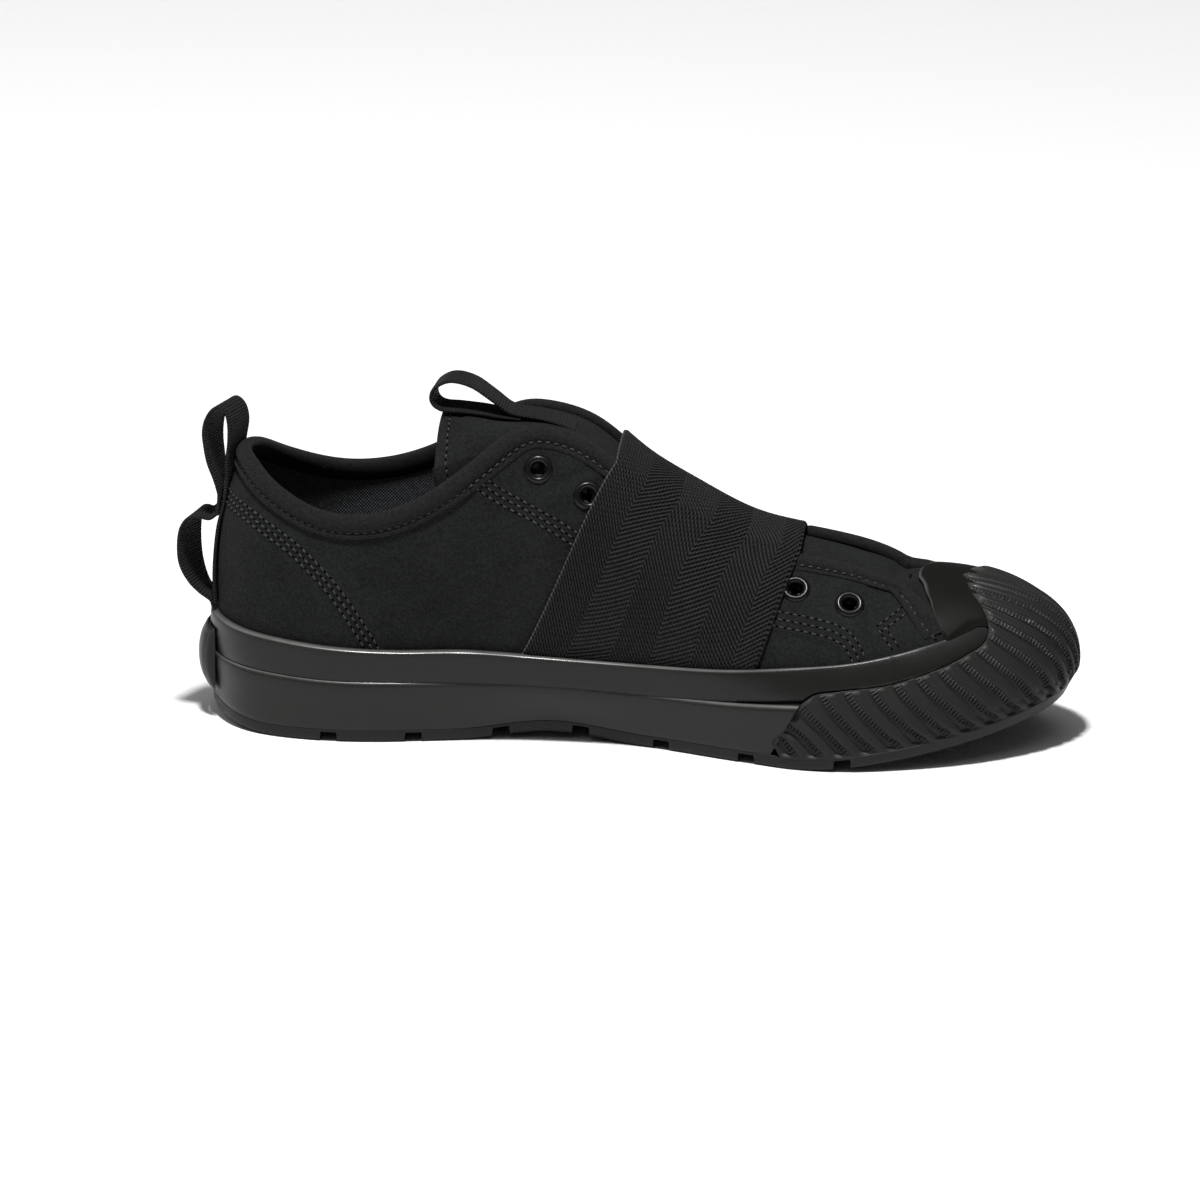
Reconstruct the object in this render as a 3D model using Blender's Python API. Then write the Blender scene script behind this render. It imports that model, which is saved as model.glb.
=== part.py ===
"""Slip-on sneaker for the left foot: hollow canvas upper on a banded rubber sole, standing on its sole."""
import math
from collections import namedtuple

import bmesh
import bpy
import numpy as np
from mathutils import Matrix, Vector

# Lengths are in millimetres until a mesh is made. X runs to the toe, -Y is the inner side of the foot.
MM = 0.001
GAP = 0.3
SEAT_HEIGHT = 9.5
OUTSOLE_THICKNESS = 4.0
SIDE_BAND = 6.0
WALL = 2.0
BINDING_HEIGHT = 6.7
BINDING_STEP = 0.6
INSOLE_THICKNESS = 3.5
TOE_SPRING = 17.0
ARCH_LIFT = 2.5
HEEL_LIFT = 4.0
HEEL_FLAT = (-122.0, -62.0)
BALL_FLAT = (2.0, 52.0)
ARCH_MIDDLE = -30.0
UNDERCUT_INNER = 5.0
UNDERCUT_OUTER = 2.0
TOE_TUCK = 6.0
BALL_TUCK = 2.4
FOXING_THICKNESS = 3.8
CAP_THICKNESS = 1.3
BAND_THICKNESS = 1.1
TONGUE_THICKNESS = 2.6
GROOVE_WIDTH = 5.5
GROOVE_DEPTH = 3.3
GROOVES = (-104.0, -75.5, -46.5, -20.6, 6.5, 36.2, 69.0)
RIB_DEPTH = 0.9
RIB_BEND = 1.3
EYELET_RADIUS = 5.0
EYELET_HOLE = 2.6
EYELET_HEIGHT = 0.9
TAPE_WIDTH = 14.0
TAPE_THICKNESS = 1.2

# One row per section of the shoe, from heel to toe.
# x, inner, outer: sole outline at the ledge. flare, rise: lower handle of the section.
# top_x, top_y, top_z: collar and throat edge. out, drop: upper handle of the section.
Section = namedtuple("Section", "x inner outer flare_in flare_out rise top_x top_y top_z out drop")
HEEL = Section(-146, 0, 0, 5, 5, 28, -135, 0, 92.5, 11, 28)
SIDES = (
    Section(-142, 13.5, 13.5, 5, 5, 28, -131.5, 11, 91, 11, 27),
    Section(-133, 24.5, 24.5, 5, 5, 27, -124.5, 19.5, 86, 9.5, 26),
    Section(-119, 31, 31, 5, 5, 25, -112.5, 27, 80.2, 6.5, 24),
    Section(-96, 34, 34.5, 5, 4.5, 23, -95, 31.8, 77.8, 3.5, 22),
    Section(-69, 32.2, 35.5, 6, 3.5, 25, -71, 30.6, 85.5, 3.5, 24),
    Section(-53, 31, 36.2, 8, 4, 28, -54, 24.2, 97.2, 9, 25),
    Section(-42, 30.2, 36.8, 9, 4.5, 30, -43, 17, 104.3, 15, 26),
    Section(-32, 30, 37.6, 9.5, 4.5, 30, -33, 14.2, 105.2, 18, 25),
    Section(-18, 30.6, 39.2, 9.5, 4, 29, -19, 14, 100.8, 19.5, 23),
    Section(0, 33, 43, 8, 3, 26, -4, 14.5, 89.0, 20.5, 20),
    Section(20, 39, 47.5, 5, 2.5, 23, 14, 15, 77.8, 21.5, 17),
    Section(41, 46.5, 52, 2.5, 2, 21, 34, 15, 67.8, 22, 13),
    Section(62, 51, 54, 1.5, 1.5, 19, 54, 14.8, 63.0, 21.5, 10),
    Section(82, 50.3, 50.5, 1, 1, 18, 71, 14.5, 59.2, 20.5, 7.5),
    Section(101, 46, 43.5, 0.9, 0.9, 17.5, 81.8, 13.8, 54.8, 20, 5),
    Section(118, 38.2, 33.6, 1.5, 1.5, 18.5, 85.8, 12, 52.2, 24.5, 3),
    Section(133, 27, 21.4, 2.0, 2.0, 18.5, 87.4, 8, 52.8, 29.5, 1.4),
    Section(142.3, 15.8, 10, 2.5, 2.5, 19.2, 88, 4, 53.3, 34.5, 0.6),
)
TOE = Section(146, 3, -3, 2.5, 2.5, 19, 88.2, 0.5, 53.5, 37, 0.4)

# Heights along the sole, one row per place: top of the lower band and top of the foxing.
Line = namedtuple("Line", "x ledge foxing")
LINES = (
    Line(-147, 23.4, 36.4),
    Line(-125, 22.7, 34.8),
    Line(-103, 21.6, 33.2),
    Line(-80, 21.4, 32.4),
    Line(-57, 21.4, 32.7),
    Line(-38, 20.9, 31.4),
    Line(-20, 20.3, 30.6),
    Line(5, 19.6, 30.2),
    Line(30, 20.2, 30.8),
    Line(53, 22.0, 32.7),
    Line(74, 23.3, 34.6),
    Line(88, 24.4, 36.6),
    Line(102, 26.0, 38.9),
    Line(118, 28.0, 42.0),
    Line(132, 29.5, 45.0),
    Line(147, 32.0, 46.0),
)

# Top edge of the toe bumper as a share of the section.
# way: share of the way round the sole from the toe's middle to the bumper's end.
Edge = namedtuple("Edge", "way share")
BUMPER_TOP = (
    Edge(0, 0.845),
    Edge(0.06, 0.81),
    Edge(0.14, 0.725),
    Edge(0.185, 0.64),
    Edge(0.235, 0.545),
    Edge(0.31, 0.43),
    Edge(0.43, 0.365),
    Edge(0.60, 0.307),
    Edge(0.72, 0.277),
    Edge(0.87, 0.262),
    Edge(0.93, 0.248),
    Edge(1.0, 0.172),
    Edge(1.1, 0.10),
)
BUMPER_END_TOP = 53.0
BUMPER_END_LOW = 43.3

# Ribs of the bumper: millimetres round the sole from the toe's middle to every second rib,
# at the bumper's lower and upper edge.
Rib = namedtuple("Rib", "count low top")
RIBS = (
    Rib(0, 0, 0),
    Rib(2, 4.2, 16.8),
    Rib(4, 16.2, 31.4),
    Rib(6, 31.8, 49.0),
    Rib(8, 48.9, 67.0),
    Rib(10, 66.4, 84.0),
    Rib(12, 83.8, 100.7),
    Rib(14, 101.4, 116.5),
    Rib(16, 119.0, 132.0),
)

# Rear edge of the toe cap as a share of the section.
# way: millimetres round the sole from the toe's middle.
CAP_REAR = (
    Edge(0, 0.98),
    Edge(13, 0.965),
    Edge(20, 0.935),
    Edge(37, 0.824),
    Edge(48, 0.663),
    Edge(51.6, 0.541),
    Edge(54, 0.43),
)
CAP_END = 114.0
FOXING_END = 127.0

# Free top of the tongue behind the eyestays.
Arch = namedtuple("Arch", "x crest half side")
TONGUE_TOP = (
    Arch(-49.5, 105.2, 17.0, 98.0),
    Arch(-59, 106.4, 20.5, 96.5),
    Arch(-69, 105.4, 25.5, 93.0),
)

# Middle lines of the webbing loops, with the turn of the tape about the upright.
# The tape of the upper heel loop also lies down the heel to the foxing.
Point = namedtuple("Point", "x z turn")
HEEL_LOOP_UPPER = (
    Point(-144.4, 38.6, 0),
    Point(-144.6, 45.0, 0),
    Point(-144.5, 52.0, 0),
    Point(-143.9, 60.0, 0),
    Point(-143.1, 66.0, 0),
    Point(-142.3, 71.0, 0),
    Point(-141.3, 76.0, 0),
    Point(-140.1, 81.5, 4),
    Point(-138.7, 88.0, 12),
    Point(-137.3, 94.5, 20),
    Point(-136.9, 100.0, 23),
    Point(-137.8, 104.6, 22),
    Point(-140.1, 107.0, 21),
    Point(-142.5, 106.0, 22),
    Point(-144.5, 102.6, 23),
    Point(-145.4, 98.4, 23),
    Point(-145.3, 93.4, 20),
    Point(-144.5, 87.6, 12),
    Point(-143.2, 82.0, 5),
    Point(-142.7, 77.6, 0),
    Point(-142.9, 75.0, 0),
)
HEEL_LOOP_LOWER = (
    Point(-144.0, 69.6, 0),
    Point(-146.0, 68.2, 2),
    Point(-148.8, 68.7, 8),
    Point(-151.4, 68.0, 16),
    Point(-153.1, 64.2, 24),
    Point(-153.6, 58.0, 27),
    Point(-153.0, 51.6, 26),
    Point(-151.0, 46.2, 18),
    Point(-148.5, 42.5, 8),
    Point(-145.9, 39.9, 0),
)
TONGUE_LOOP = (
    Point(-26.0, 103.9, 0),
    Point(-36.0, 105.8, 0),
    Point(-45.0, 107.4, 0),
    Point(-51.0, 111.6, 2),
    Point(-58.0, 116.4, 4),
    Point(-65.0, 118.0, 6),
    Point(-70.2, 115.4, 6),
    Point(-71.4, 111.2, 5),
    Point(-68.6, 108.2, 3),
    Point(-62.0, 107.9, 1),
    Point(-55.0, 107.6, 0),
)

# Eyelet centres on the sides of the throat.
Eyelet = namedtuple("Eyelet", "x z")
EYELETS = (Eyelet(-34.7, 93.2), Eyelet(-18.0, 85.2), Eyelet(51.5, 55.5), Eyelet(69.6, 51.4))

# Places along the sole at which the wrapped pieces have their sections.
SIDE_X = np.array([-143.5, -138.5, -131, -122, -110, -98, -86, -74, -62, -54, -48, -43, -38, -32, -24,
                   -11, 2, 15, 28, 40, 52, 64, 76, 88, 98, 106, 112, 118, 125, 131.5, 137, 141.5, 144.5])

# Elastic band: ends at the foxing and at the throat.
# bow: how far its edge swings forward on the way up.
BAND_REAR_LOW = -40.4
BAND_REAR_TOP = -7.4
BAND_REAR_BOW = 0.24
BAND_FRONT_LOW = 41.0
BAND_FRONT_TOP = 59.7
BAND_FRONT_BOW = 0.68


def smooth(value, low, high):
    t = np.clip((np.asarray(value, float) - low) / (high - low), 0.0, 1.0)
    return t * t * (3.0 - 2.0 * t)


def along(rows, key, column):
    """Straight-line reading of one column of a table by another."""
    keys = [getattr(row, key) for row in rows]
    values = [getattr(row, column) for row in rows]
    return lambda at: np.interp(at, keys, values)


LEDGE = along(LINES, "x", "ledge")
FOXING_TOP = along(LINES, "x", "foxing")
BUMPER_SHARE = along(BUMPER_TOP, "way", "share")
RIB_LOW = along(RIBS, "count", "low")
RIB_TOP = along(RIBS, "count", "top")
CAP_SHARE = along(CAP_REAR, "way", "share")


def toe_spring(x):
    share = (np.asarray(x, float) - BALL_FLAT[1]) / (146.0 - BALL_FLAT[1])
    return TOE_SPRING * np.clip(share, 0.0, 1.1) ** 1.6


def bottom(x):
    """Height of the tread above the floor."""
    x = np.asarray(x, float)
    half = np.where(x < ARCH_MIDDLE, ARCH_MIDDLE - HEEL_FLAT[1], BALL_FLAT[0] - ARCH_MIDDLE)
    arch = ARCH_LIFT * (1.0 - smooth(np.abs(x - ARCH_MIDDLE) / half, 0.0, 1.0))
    heel = HEEL_LIFT * np.clip((HEEL_FLAT[0] - x) / 24.0, 0.0, 1.1) ** 2
    return toe_spring(x) + arch + heel


def seat(x):
    """Height of the surface that the upper and the insole stand on."""
    return SEAT_HEIGHT + toe_spring(x)


class ClosedSpline:
    """Smooth closed curve through rows of values."""

    def __init__(self, knots, values, total):
        self.knots, self.values, self.total = np.asarray(knots), np.asarray(values, float), total
        n = len(self.knots)
        self.steps = np.diff(np.append(self.knots, total))
        system = np.zeros((n, n))
        right = np.zeros_like(self.values)
        for i in range(n):
            before, after = (i - 1) % n, (i + 1) % n
            system[i, before] += self.steps[before]
            system[i, i] += 2.0 * (self.steps[before] + self.steps[i])
            system[i, after] += self.steps[i]
            rise = (self.values[after] - self.values[i]) / self.steps[i]
            fall = (self.values[i] - self.values[before]) / self.steps[before]
            right[i] = 6.0 * (rise - fall)
        self.bend = np.linalg.solve(system, right)

    def at(self, u):
        u = np.mod(np.asarray(u, float), self.total)
        i = np.clip(np.searchsorted(self.knots, u, side="right") - 1, 0, len(self.knots) - 1)
        j = (i + 1) % len(self.knots)
        h = self.steps[i][..., None]
        b = (u - self.knots[i])[..., None] / h
        a = 1.0 - b
        curve = ((a ** 3 - a) * self.bend[i] + (b ** 3 - b) * self.bend[j]) * h * h / 6.0
        return a * self.values[i] + b * self.values[j] + curve


def station_rows():
    rows = [(HEEL.x, 0.0, HEEL.flare_in, HEEL.rise, HEEL.top_x, 0.0, HEEL.top_z, HEEL.out, HEEL.drop)]
    for s in SIDES:
        rows.append((s.x, -s.inner, s.flare_in, s.rise, s.top_x, -s.top_y, s.top_z, s.out, s.drop))
    t = TOE
    rows.append((t.x, -t.inner, t.flare_in, t.rise, t.top_x, -t.top_y, t.top_z, t.out, t.drop))
    for s in reversed(SIDES):
        rows.append((s.x, s.outer, s.flare_out, s.rise, s.top_x, s.top_y, s.top_z, s.out, s.drop))
    return np.array(rows, float)


ROWS = station_rows()
STEPS = np.linalg.norm(np.diff(np.vstack([ROWS[:, :2], ROWS[:1, :2]]), axis=0), axis=1)
KNOTS = np.concatenate([[0.0], np.cumsum(STEPS)[:-1]])
ROUND = float(STEPS.sum())
TOE_U = float(KNOTS[len(SIDES) + 1])
SHAPE = ClosedSpline(KNOTS, ROWS, ROUND)


def outward(u):
    """Outward direction of the sole outline, in plan."""
    run = SHAPE.at(np.asarray(u) + 0.5)[..., :2] - SHAPE.at(np.asarray(u) - 0.5)[..., :2]
    run /= np.linalg.norm(run, axis=-1, keepdims=True)
    return np.stack([run[..., 1], -run[..., 0]], -1)


def u_at(x, inner):
    """Place round the sole where the outline has this X, on the inner or the outer side."""
    span = np.linspace(0.0, TOE_U, 600) if inner else np.linspace(ROUND, TOE_U, 600)
    return np.interp(x, SHAPE.at(span)[:, 0], span)


def bare(u, v):
    """Outer face of the upper, from the seat (v = 0) to the collar and throat edge (v = 1)."""
    u, v = np.broadcast_arrays(np.asarray(u, float), np.asarray(v, float))
    row = SHAPE.at(u)
    n = outward(u)
    foot = row[..., :2] - SIDE_BAND * n
    floor = seat(foot[..., 0])
    low = np.concatenate([foot, floor[..., None]], -1)
    first = np.concatenate([foot + n * row[..., 2:3], (floor + row[..., 3])[..., None]], -1)
    top = row[..., 4:7]
    second = np.concatenate([top[..., :2] + n * row[..., 7:8], (top[..., 2] - row[..., 8])[..., None]], -1)
    v = v[..., None]
    w = 1.0 - v
    return low * w ** 3 + first * (3 * w * w * v) + second * (3 * w * v * v) + top * v ** 3


def normal(u, v):
    u, v = np.broadcast_arrays(np.asarray(u, float), np.asarray(v, float))
    across = bare(u + 0.4, v) - bare(u - 0.4, v)
    rising = bare(u, v + 0.01) - bare(u, v - 0.01)
    n = np.cross(across, rising)
    return n / np.linalg.norm(n, axis=-1, keepdims=True)


def skin(u, v, off=0.0):
    """The upper's outer face moved out by off; v below 0 runs straight down to the tread layer."""
    u, v, off = np.broadcast_arrays(np.asarray(u, float), np.asarray(v, float), np.asarray(off, float))
    held = np.clip(v, 0.0, 1.0)
    points = bare(u, held) + normal(u, held) * off[..., None]
    n = outward(u)
    foot = bare(u, 0.0)[..., :2]
    flat = foot + n * off[..., None]
    high = seat(foot[..., 0])
    low = bottom(flat[..., 0]) + OUTSOLE_THICKNESS + GAP
    z = high + v * (high - low)
    below = np.concatenate([flat, z[..., None]], -1)
    mix = smooth(v, 0.0, 0.12)[..., None]
    level = np.concatenate([bare(u, held)[..., :2] + n * off[..., None], bare(u, held)[..., 2:]], -1)
    return np.where(v[..., None] < 0.0, below, level * (1.0 - mix) + points * mix)


def share_at(u, z):
    """Share of the section at which the upper's outer face reaches this height."""
    u, z = np.broadcast_arrays(np.asarray(u, float), np.asarray(z, float))
    v = np.linspace(0.0, 1.0, 101)
    out = np.empty(u.shape)
    for i in np.ndindex(u.shape):
        out[i] = np.interp(z[i], bare(np.full(v.shape, u[i]), v)[:, 2], v)
    return out


def spot(x, z, inner):
    """Place and share of the section where a side of the upper has this X and height."""
    guess = x
    for _ in range(12):
        u = float(u_at(guess, inner))
        v = float(share_at(u, z))
        guess += x - float(bare(u, v)[0])
    return u, v


def share_from_top(u, length):
    """Share of the section that lies this far below its top edge, measured along it."""
    v = np.linspace(0.0, 1.0, 201)
    out = []
    for each in u:
        line = bare(np.full(v.shape, each), v)
        run = np.concatenate([[0.0], np.cumsum(np.linalg.norm(np.diff(line, axis=0), axis=1))])
        out.append(np.interp(run[-1] - length, run, v))
    return np.array(out)


def make_material(name, colour, roughness, metallic=0.0):
    material = bpy.data.materials.new(name)
    material.use_nodes = True
    shader = material.node_tree.nodes["Principled BSDF"]
    shader.inputs["Base Color"].default_value = (*colour, 1.0)
    shader.inputs["Roughness"].default_value = roughness
    shader.inputs["Metallic"].default_value = metallic
    material.diffuse_color = (*colour, 1.0)
    return material


def add_object(name, points, faces, material, collection):
    """Closed mesh from points in millimetres."""
    mesh = bpy.data.meshes.new(name)
    mesh.from_pydata([tuple(float(c) * MM for c in p) for p in points], [], faces)
    work = bmesh.new()
    work.from_mesh(mesh)
    bmesh.ops.remove_doubles(work, verts=work.verts, dist=1e-6)
    bmesh.ops.recalc_face_normals(work, faces=work.faces)
    work.to_mesh(mesh)
    work.free()
    mesh.materials.append(material)
    part = bpy.data.objects.new(name, mesh)
    collection.objects.link(part)
    return part


def grid_faces(rows, columns, first, closed):
    faces = []
    for i in range(rows if closed else rows - 1):
        j = (i + 1) % rows
        for k in range(columns - 1):
            a, b = first + i * columns + k, first + j * columns + k
            faces.append((a, b, b + 1, a + 1))
    return faces


def add_shell(name, outer, inner, closed, material, collection):
    """Wall between two grids of points of the same size."""
    rows, columns = outer.shape[:2]
    count = rows * columns
    faces = grid_faces(rows, columns, 0, closed)
    faces += [tuple(reversed(f)) for f in grid_faces(rows, columns, count, closed)]
    for i in range(rows if closed else rows - 1):
        j = (i + 1) % rows
        for k in (0, columns - 1):
            a, b = i * columns + k, j * columns + k
            faces.append((a, b, b + count, a + count))
    if not closed:
        for i in (0, rows - 1):
            for k in range(columns - 1):
                a = i * columns + k
                faces.append((a, a + 1, a + 1 + count, a + count))
    points = np.concatenate([outer.reshape(-1, 3), inner.reshape(-1, 3)])
    return add_object(name, points, faces, material, collection)


def add_sweep(name, rings, material, collection):
    """Solid through closed outlines set one after another, with flat ends."""
    rows, columns = rings.shape[:2]
    faces = []
    for i in range(rows - 1):
        for k in range(columns):
            m = (k + 1) % columns
            faces.append((i * columns + k, (i + 1) * columns + k, (i + 1) * columns + m, i * columns + m))
    faces.append(tuple(range(columns)))
    faces.append(tuple(range((rows - 1) * columns, rows * columns)))
    return add_object(name, rings.reshape(-1, 3), faces, material, collection)


def add_slab(name, rings, material, collection):
    """Solid of closed outlines from below to above, closed across the shoe at both ends."""
    levels, count = rings.shape[:2]
    faces = []
    for i in range(levels - 1):
        for k in range(count):
            m = (k + 1) % count
            faces.append((i * count + k, i * count + m, (i + 1) * count + m, (i + 1) * count + k))
    half = count // 2
    for first in (0, (levels - 1) * count):
        faces.append((first, first + 1, first + count - 1))
        for k in range(1, half - 1):
            faces.append((first + k, first + k + 1, first + count - k - 1, first + count - k))
        faces.append((first + half - 1, first + half, first + half + 1))
    return add_object(name, rings.reshape(-1, 3), faces, material, collection)


def sole_stations():
    """Places round the sole in pairs that face each other across the shoe, heel first."""
    return np.concatenate([[0.0], u_at(SIDE_X, True), [TOE_U], u_at(SIDE_X[::-1], False)])


def heel_run(limit):
    """Places from the outer side round the heel to the inner side, up to this X."""
    x = SIDE_X[SIDE_X <= limit]
    return np.concatenate([u_at(x[::-1], False) - ROUND, [0.0], u_at(x, True)])


def level_ring(u, off, height):
    """Closed outline at an offset from the foot of the upper, at a height given by X."""
    plan = bare(u, 0.0)[:, :2] + outward(u) * np.asarray(off, float).reshape(-1, 1)
    return np.column_stack([plan, height(plan[:, 0])])


def undercut(u):
    point = SHAPE.at(u)
    depth = np.where(point[..., 1] < 0.0, UNDERCUT_INNER, UNDERCUT_OUTER)
    return depth * np.exp(-((point[..., 0] - ARCH_MIDDLE) / 38.0) ** 2)


def round_from_toe(u):
    return np.abs(np.mod(u - TOE_U + ROUND / 2.0, ROUND) - ROUND / 2.0)


def tuck(u):
    """How far the sole's lower edge is drawn in round the toe."""
    way = round_from_toe(u)
    drawn = BALL_TUCK + (TOE_TUCK - BALL_TUCK) * np.exp(-(way / 22.0) ** 2)
    return drawn * (1.0 - smooth(way, 60.0, 105.0))


def make_outsole(material, collection, cutters):
    u = sole_stations()
    edge = SIDE_BAND - undercut(u)
    drawn = tuck(u)
    rings = np.stack([
        level_ring(u, edge - drawn - 1.6, bottom),
        level_ring(u, edge - 0.95 * drawn - 0.5, lambda x: bottom(x) + 1.2),
        level_ring(u, edge - 0.80 * drawn - 0.5, lambda x: bottom(x) + 3.0),
        level_ring(u, edge - 0.65 * drawn - 1.2, lambda x: bottom(x) + OUTSOLE_THICKNESS),
        level_ring(u, np.zeros(len(u)), lambda x: bottom(x) + OUTSOLE_THICKNESS),
        level_ring(u, np.zeros(len(u)), lambda x: seat(x) - GAP),
    ])
    outsole = add_slab("outsole", rings, material, collection)
    mesh = bpy.data.meshes.new("tread_cutters")
    work = bmesh.new()
    for x in GROOVES:
        top = float(bottom(x)) + GROOVE_DEPTH
        size = Matrix.Diagonal((GROOVE_WIDTH * MM, 0.2, (top + 4.0) * MM, 1.0))
        place = Matrix.Translation((x * MM, 0.0, (top - 4.0) / 2.0 * MM))
        bmesh.ops.create_cube(work, size=1.0, matrix=place @ size)
    work.to_mesh(mesh)
    work.free()
    cutter = bpy.data.objects.new("tread_cutters", mesh)
    cutter.hide_render = True
    cutter.display_type = "WIRE"
    cutters.objects.link(cutter)
    cut = outsole.modifiers.new("tread grooves", "BOOLEAN")
    cut.operation = "DIFFERENCE"
    cut.solver = "EXACT"
    cut.object = cutter
    return outsole, cutter


def make_sidewall(material, collection):
    """Lower band from the bumper's inner end round the heel to its outer end."""
    # Profile: height share between tread layer and ledge, and reach out from the sole's edge.
    shares = np.array([0.0, 0.0, 0.40, 0.80, 0.95, 1.0, 1.0, 0.6, 0.28])
    reach = np.array([0.0, -0.4, 0.0, 0.5, 0.3, -1.0, 0.0, 0.0, 0.0])
    hollow = np.array([0.0, 1.0, 0.55, 0.15, 0.05, 0.0, 0.0, 0.0, 0.0])
    inside = np.array([1, 0, 0, 0, 0, 0, 1, 1, 1], bool)
    ends = []
    for inner in (False, True):
        low = u_at(BUMPER_END_LOW, inner)
        top = u_at(BUMPER_END_TOP, inner)
        ends.append(low + (top - low) * shares + (-0.5 if inner else 0.5 - ROUND))
    middle = np.repeat(heel_run(BUMPER_END_LOW - 2.0)[:, None], len(shares), 1)
    u = np.concatenate([ends[0][None], middle, ends[1][None]])
    foot = bare(u, 0.0)
    n = outward(u)
    face = foot[..., :2] + n * (SIDE_BAND + reach - hollow * undercut(u))[..., None]
    low = bottom(np.where(inside[None], foot[..., 0], face[..., 0])) + OUTSOLE_THICKNESS + GAP
    z = low + (LEDGE(foot[..., 0]) - low) * shares
    v = share_at(u, z)
    wall = np.where((z > seat(foot[..., 0]))[..., None], bare(u, v)[..., :2], foot[..., :2])
    back = wall + n * (GAP + 0.15)
    plan = np.where(inside[None, :, None], back, face)
    return add_sweep("sidewall", np.concatenate([plan, z[..., None]], -1), material, collection)


def bumper_share(u):
    inner = np.mod(u, ROUND) < TOE_U
    reach = [round_from_toe(u_at(BUMPER_END_TOP, side)) for side in (False, True)]
    return BUMPER_SHARE(round_from_toe(u) / np.where(inner, reach[1], reach[0]))


def make_foxing(material, collection):
    """Upper band above the ledge, tapering out between bumper and toe cap."""
    ends = u_at(FOXING_END, False) - ROUND, u_at(FOXING_END, True)
    u = np.concatenate([ends[:1], heel_run(FOXING_END - 1.0), ends[1:]])
    foot = bare(u, 0.0)
    front = smooth(SHAPE.at(u)[:, 0], 46.0, 58.0)
    ledge = share_at(u, LEDGE(foot[:, 0]) + GAP)
    above = bumper_share(u) + 0.022
    low = np.maximum(ledge, above * (front > 0.02))
    top = np.maximum(share_at(u, FOXING_TOP(SHAPE.at(u)[:, 0])), low + 0.02)
    shares = (0.0, 0.5, 0.86, 1.0, 0.97, 0.5)
    thick = FOXING_THICKNESS
    reach = np.array([thick, thick - 0.3, thick - 0.9, 1.9, GAP + 0.1, GAP + 0.1])
    rings = []
    tip = 1.0 - 0.5 * smooth(SHAPE.at(u)[:, 0], 80.0, 119.0)
    for i, each in enumerate(u):
        v = low[i] + (top[i] - low[i]) * np.array(shares + (0.0,))
        off = np.append(np.where(reach > 1.0, reach * tip[i], reach), GAP + 0.1)
        ring = skin(np.full(v.shape, each), v, off)
        face = bare(each, v)
        level = np.concatenate([face[:, :2] + outward(each) * off[:, None], face[:, 2:]], -1)
        for k in (0, 6):
            ring[k] = level[k] * (1.0 - front[i]) + ring[k] * front[i]
        rings.append(ring)
    return add_sweep("foxing", np.array(rings), material, collection)


def make_bumper(material, collection):
    """Ribbed toe piece; its columns follow the ribs, which lean on the sides and run lengthwise in front."""
    end = {}
    for inner in (True, False):
        end[inner] = [round_from_toe(u_at(x, inner)) for x in (BUMPER_END_LOW, BUMPER_END_TOP)]
    # Rows from the lip at the bottom to the top edge: share of the height and of the section's part.
    shares = np.array([0.0, 0.12, 0.26, 0.46, 0.72, 1.0])
    fixed = np.array([-1.0, -0.5, 0.0, 0.0, 0.0, 0.0])
    upward = np.array([0.0, 0.0, 0.02, 0.30, 0.62, 1.0])
    body = np.array([6.4, 6.4, 6.0, 4.8, 3.8, 2.3])
    back = np.array([0.9, 0.9, 1.0, 1.8, 2.1, 1.2])
    ribbed = np.array([0.0, 1.0, 1.0, 1.0, 1.0, 0.0])
    drawn = np.array([0.75, 0.37, 0.13, 0.0, 0.0, 0.0])
    # One rib and the groove behind it: crest, foot of the slope, foot of the next rib.
    pattern = (0.0, 0.5, 0.84)
    lift = (0.0, -1.0, -1.0)
    columns = []
    for inner in (False, True):
        ends = end[inner]
        limit = ends[0] + (ends[1] - ends[0]) * shares
        side = []
        for count in np.add.outer(np.arange(RIBS[-1].count), pattern).ravel():
            low, top = RIB_LOW(count), RIB_TOP(count)
            away = np.minimum(top - (top - low) * (1.0 - shares) ** RIB_BEND, limit)
            height = lift[len(side) % len(pattern)]
            side.append((away, height * ribbed * smooth(limit - away, 0.0, 2.0)))
            if np.all(away >= limit):
                break
        sign = -1.0 if inner else 1.0
        side = [(TOE_U + sign * away, height) for away, height in side]
        columns += side[::-1] if not inner else side[1:]
    u = np.array([c[0] for c in columns])
    ribs = np.array([c[1] for c in columns])
    v = fixed + upward * bumper_share(u)
    outer = skin(u, v, body - drawn * tuck(u) + ribs * RIB_DEPTH)
    inner_face = skin(u, v, np.broadcast_to(back, u.shape))
    return add_shell("toe_bumper", outer, inner_face, False, material, collection)


def make_cap(material, collection):
    """Smooth cap between bumper, foxing and the front of the throat."""
    x = np.append(CAP_END, SIDE_X[SIDE_X > CAP_END + 1.0])
    span = np.concatenate([u_at(x, True), [TOE_U], u_at(x[::-1], False)])
    foxing = share_at(span, FOXING_TOP(SHAPE.at(span)[:, 0]))
    beside = round_from_toe(span) > 30.0
    low = np.where(beside, np.maximum(foxing + 0.025, bumper_share(span) + 0.05), bumper_share(span) + 0.015)
    t = np.linspace(0.0, 1.0, 7)[None, :]
    high = np.maximum(CAP_SHARE(round_from_toe(span)), low + 0.03)
    v = low[:, None] + (high - low)[:, None] * t
    u = np.broadcast_to(span[:, None], v.shape)
    rim = np.array([0.35, 0.0, 0.0, 0.0, 0.0, 0.0, 0.45])
    outer = skin(u, v, GAP + 0.3 + CAP_THICKNESS - rim[None, :])
    inner = skin(u, v, GAP + 0.3)
    return add_shell("toe_cap", outer, inner, False, material, collection)


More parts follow.
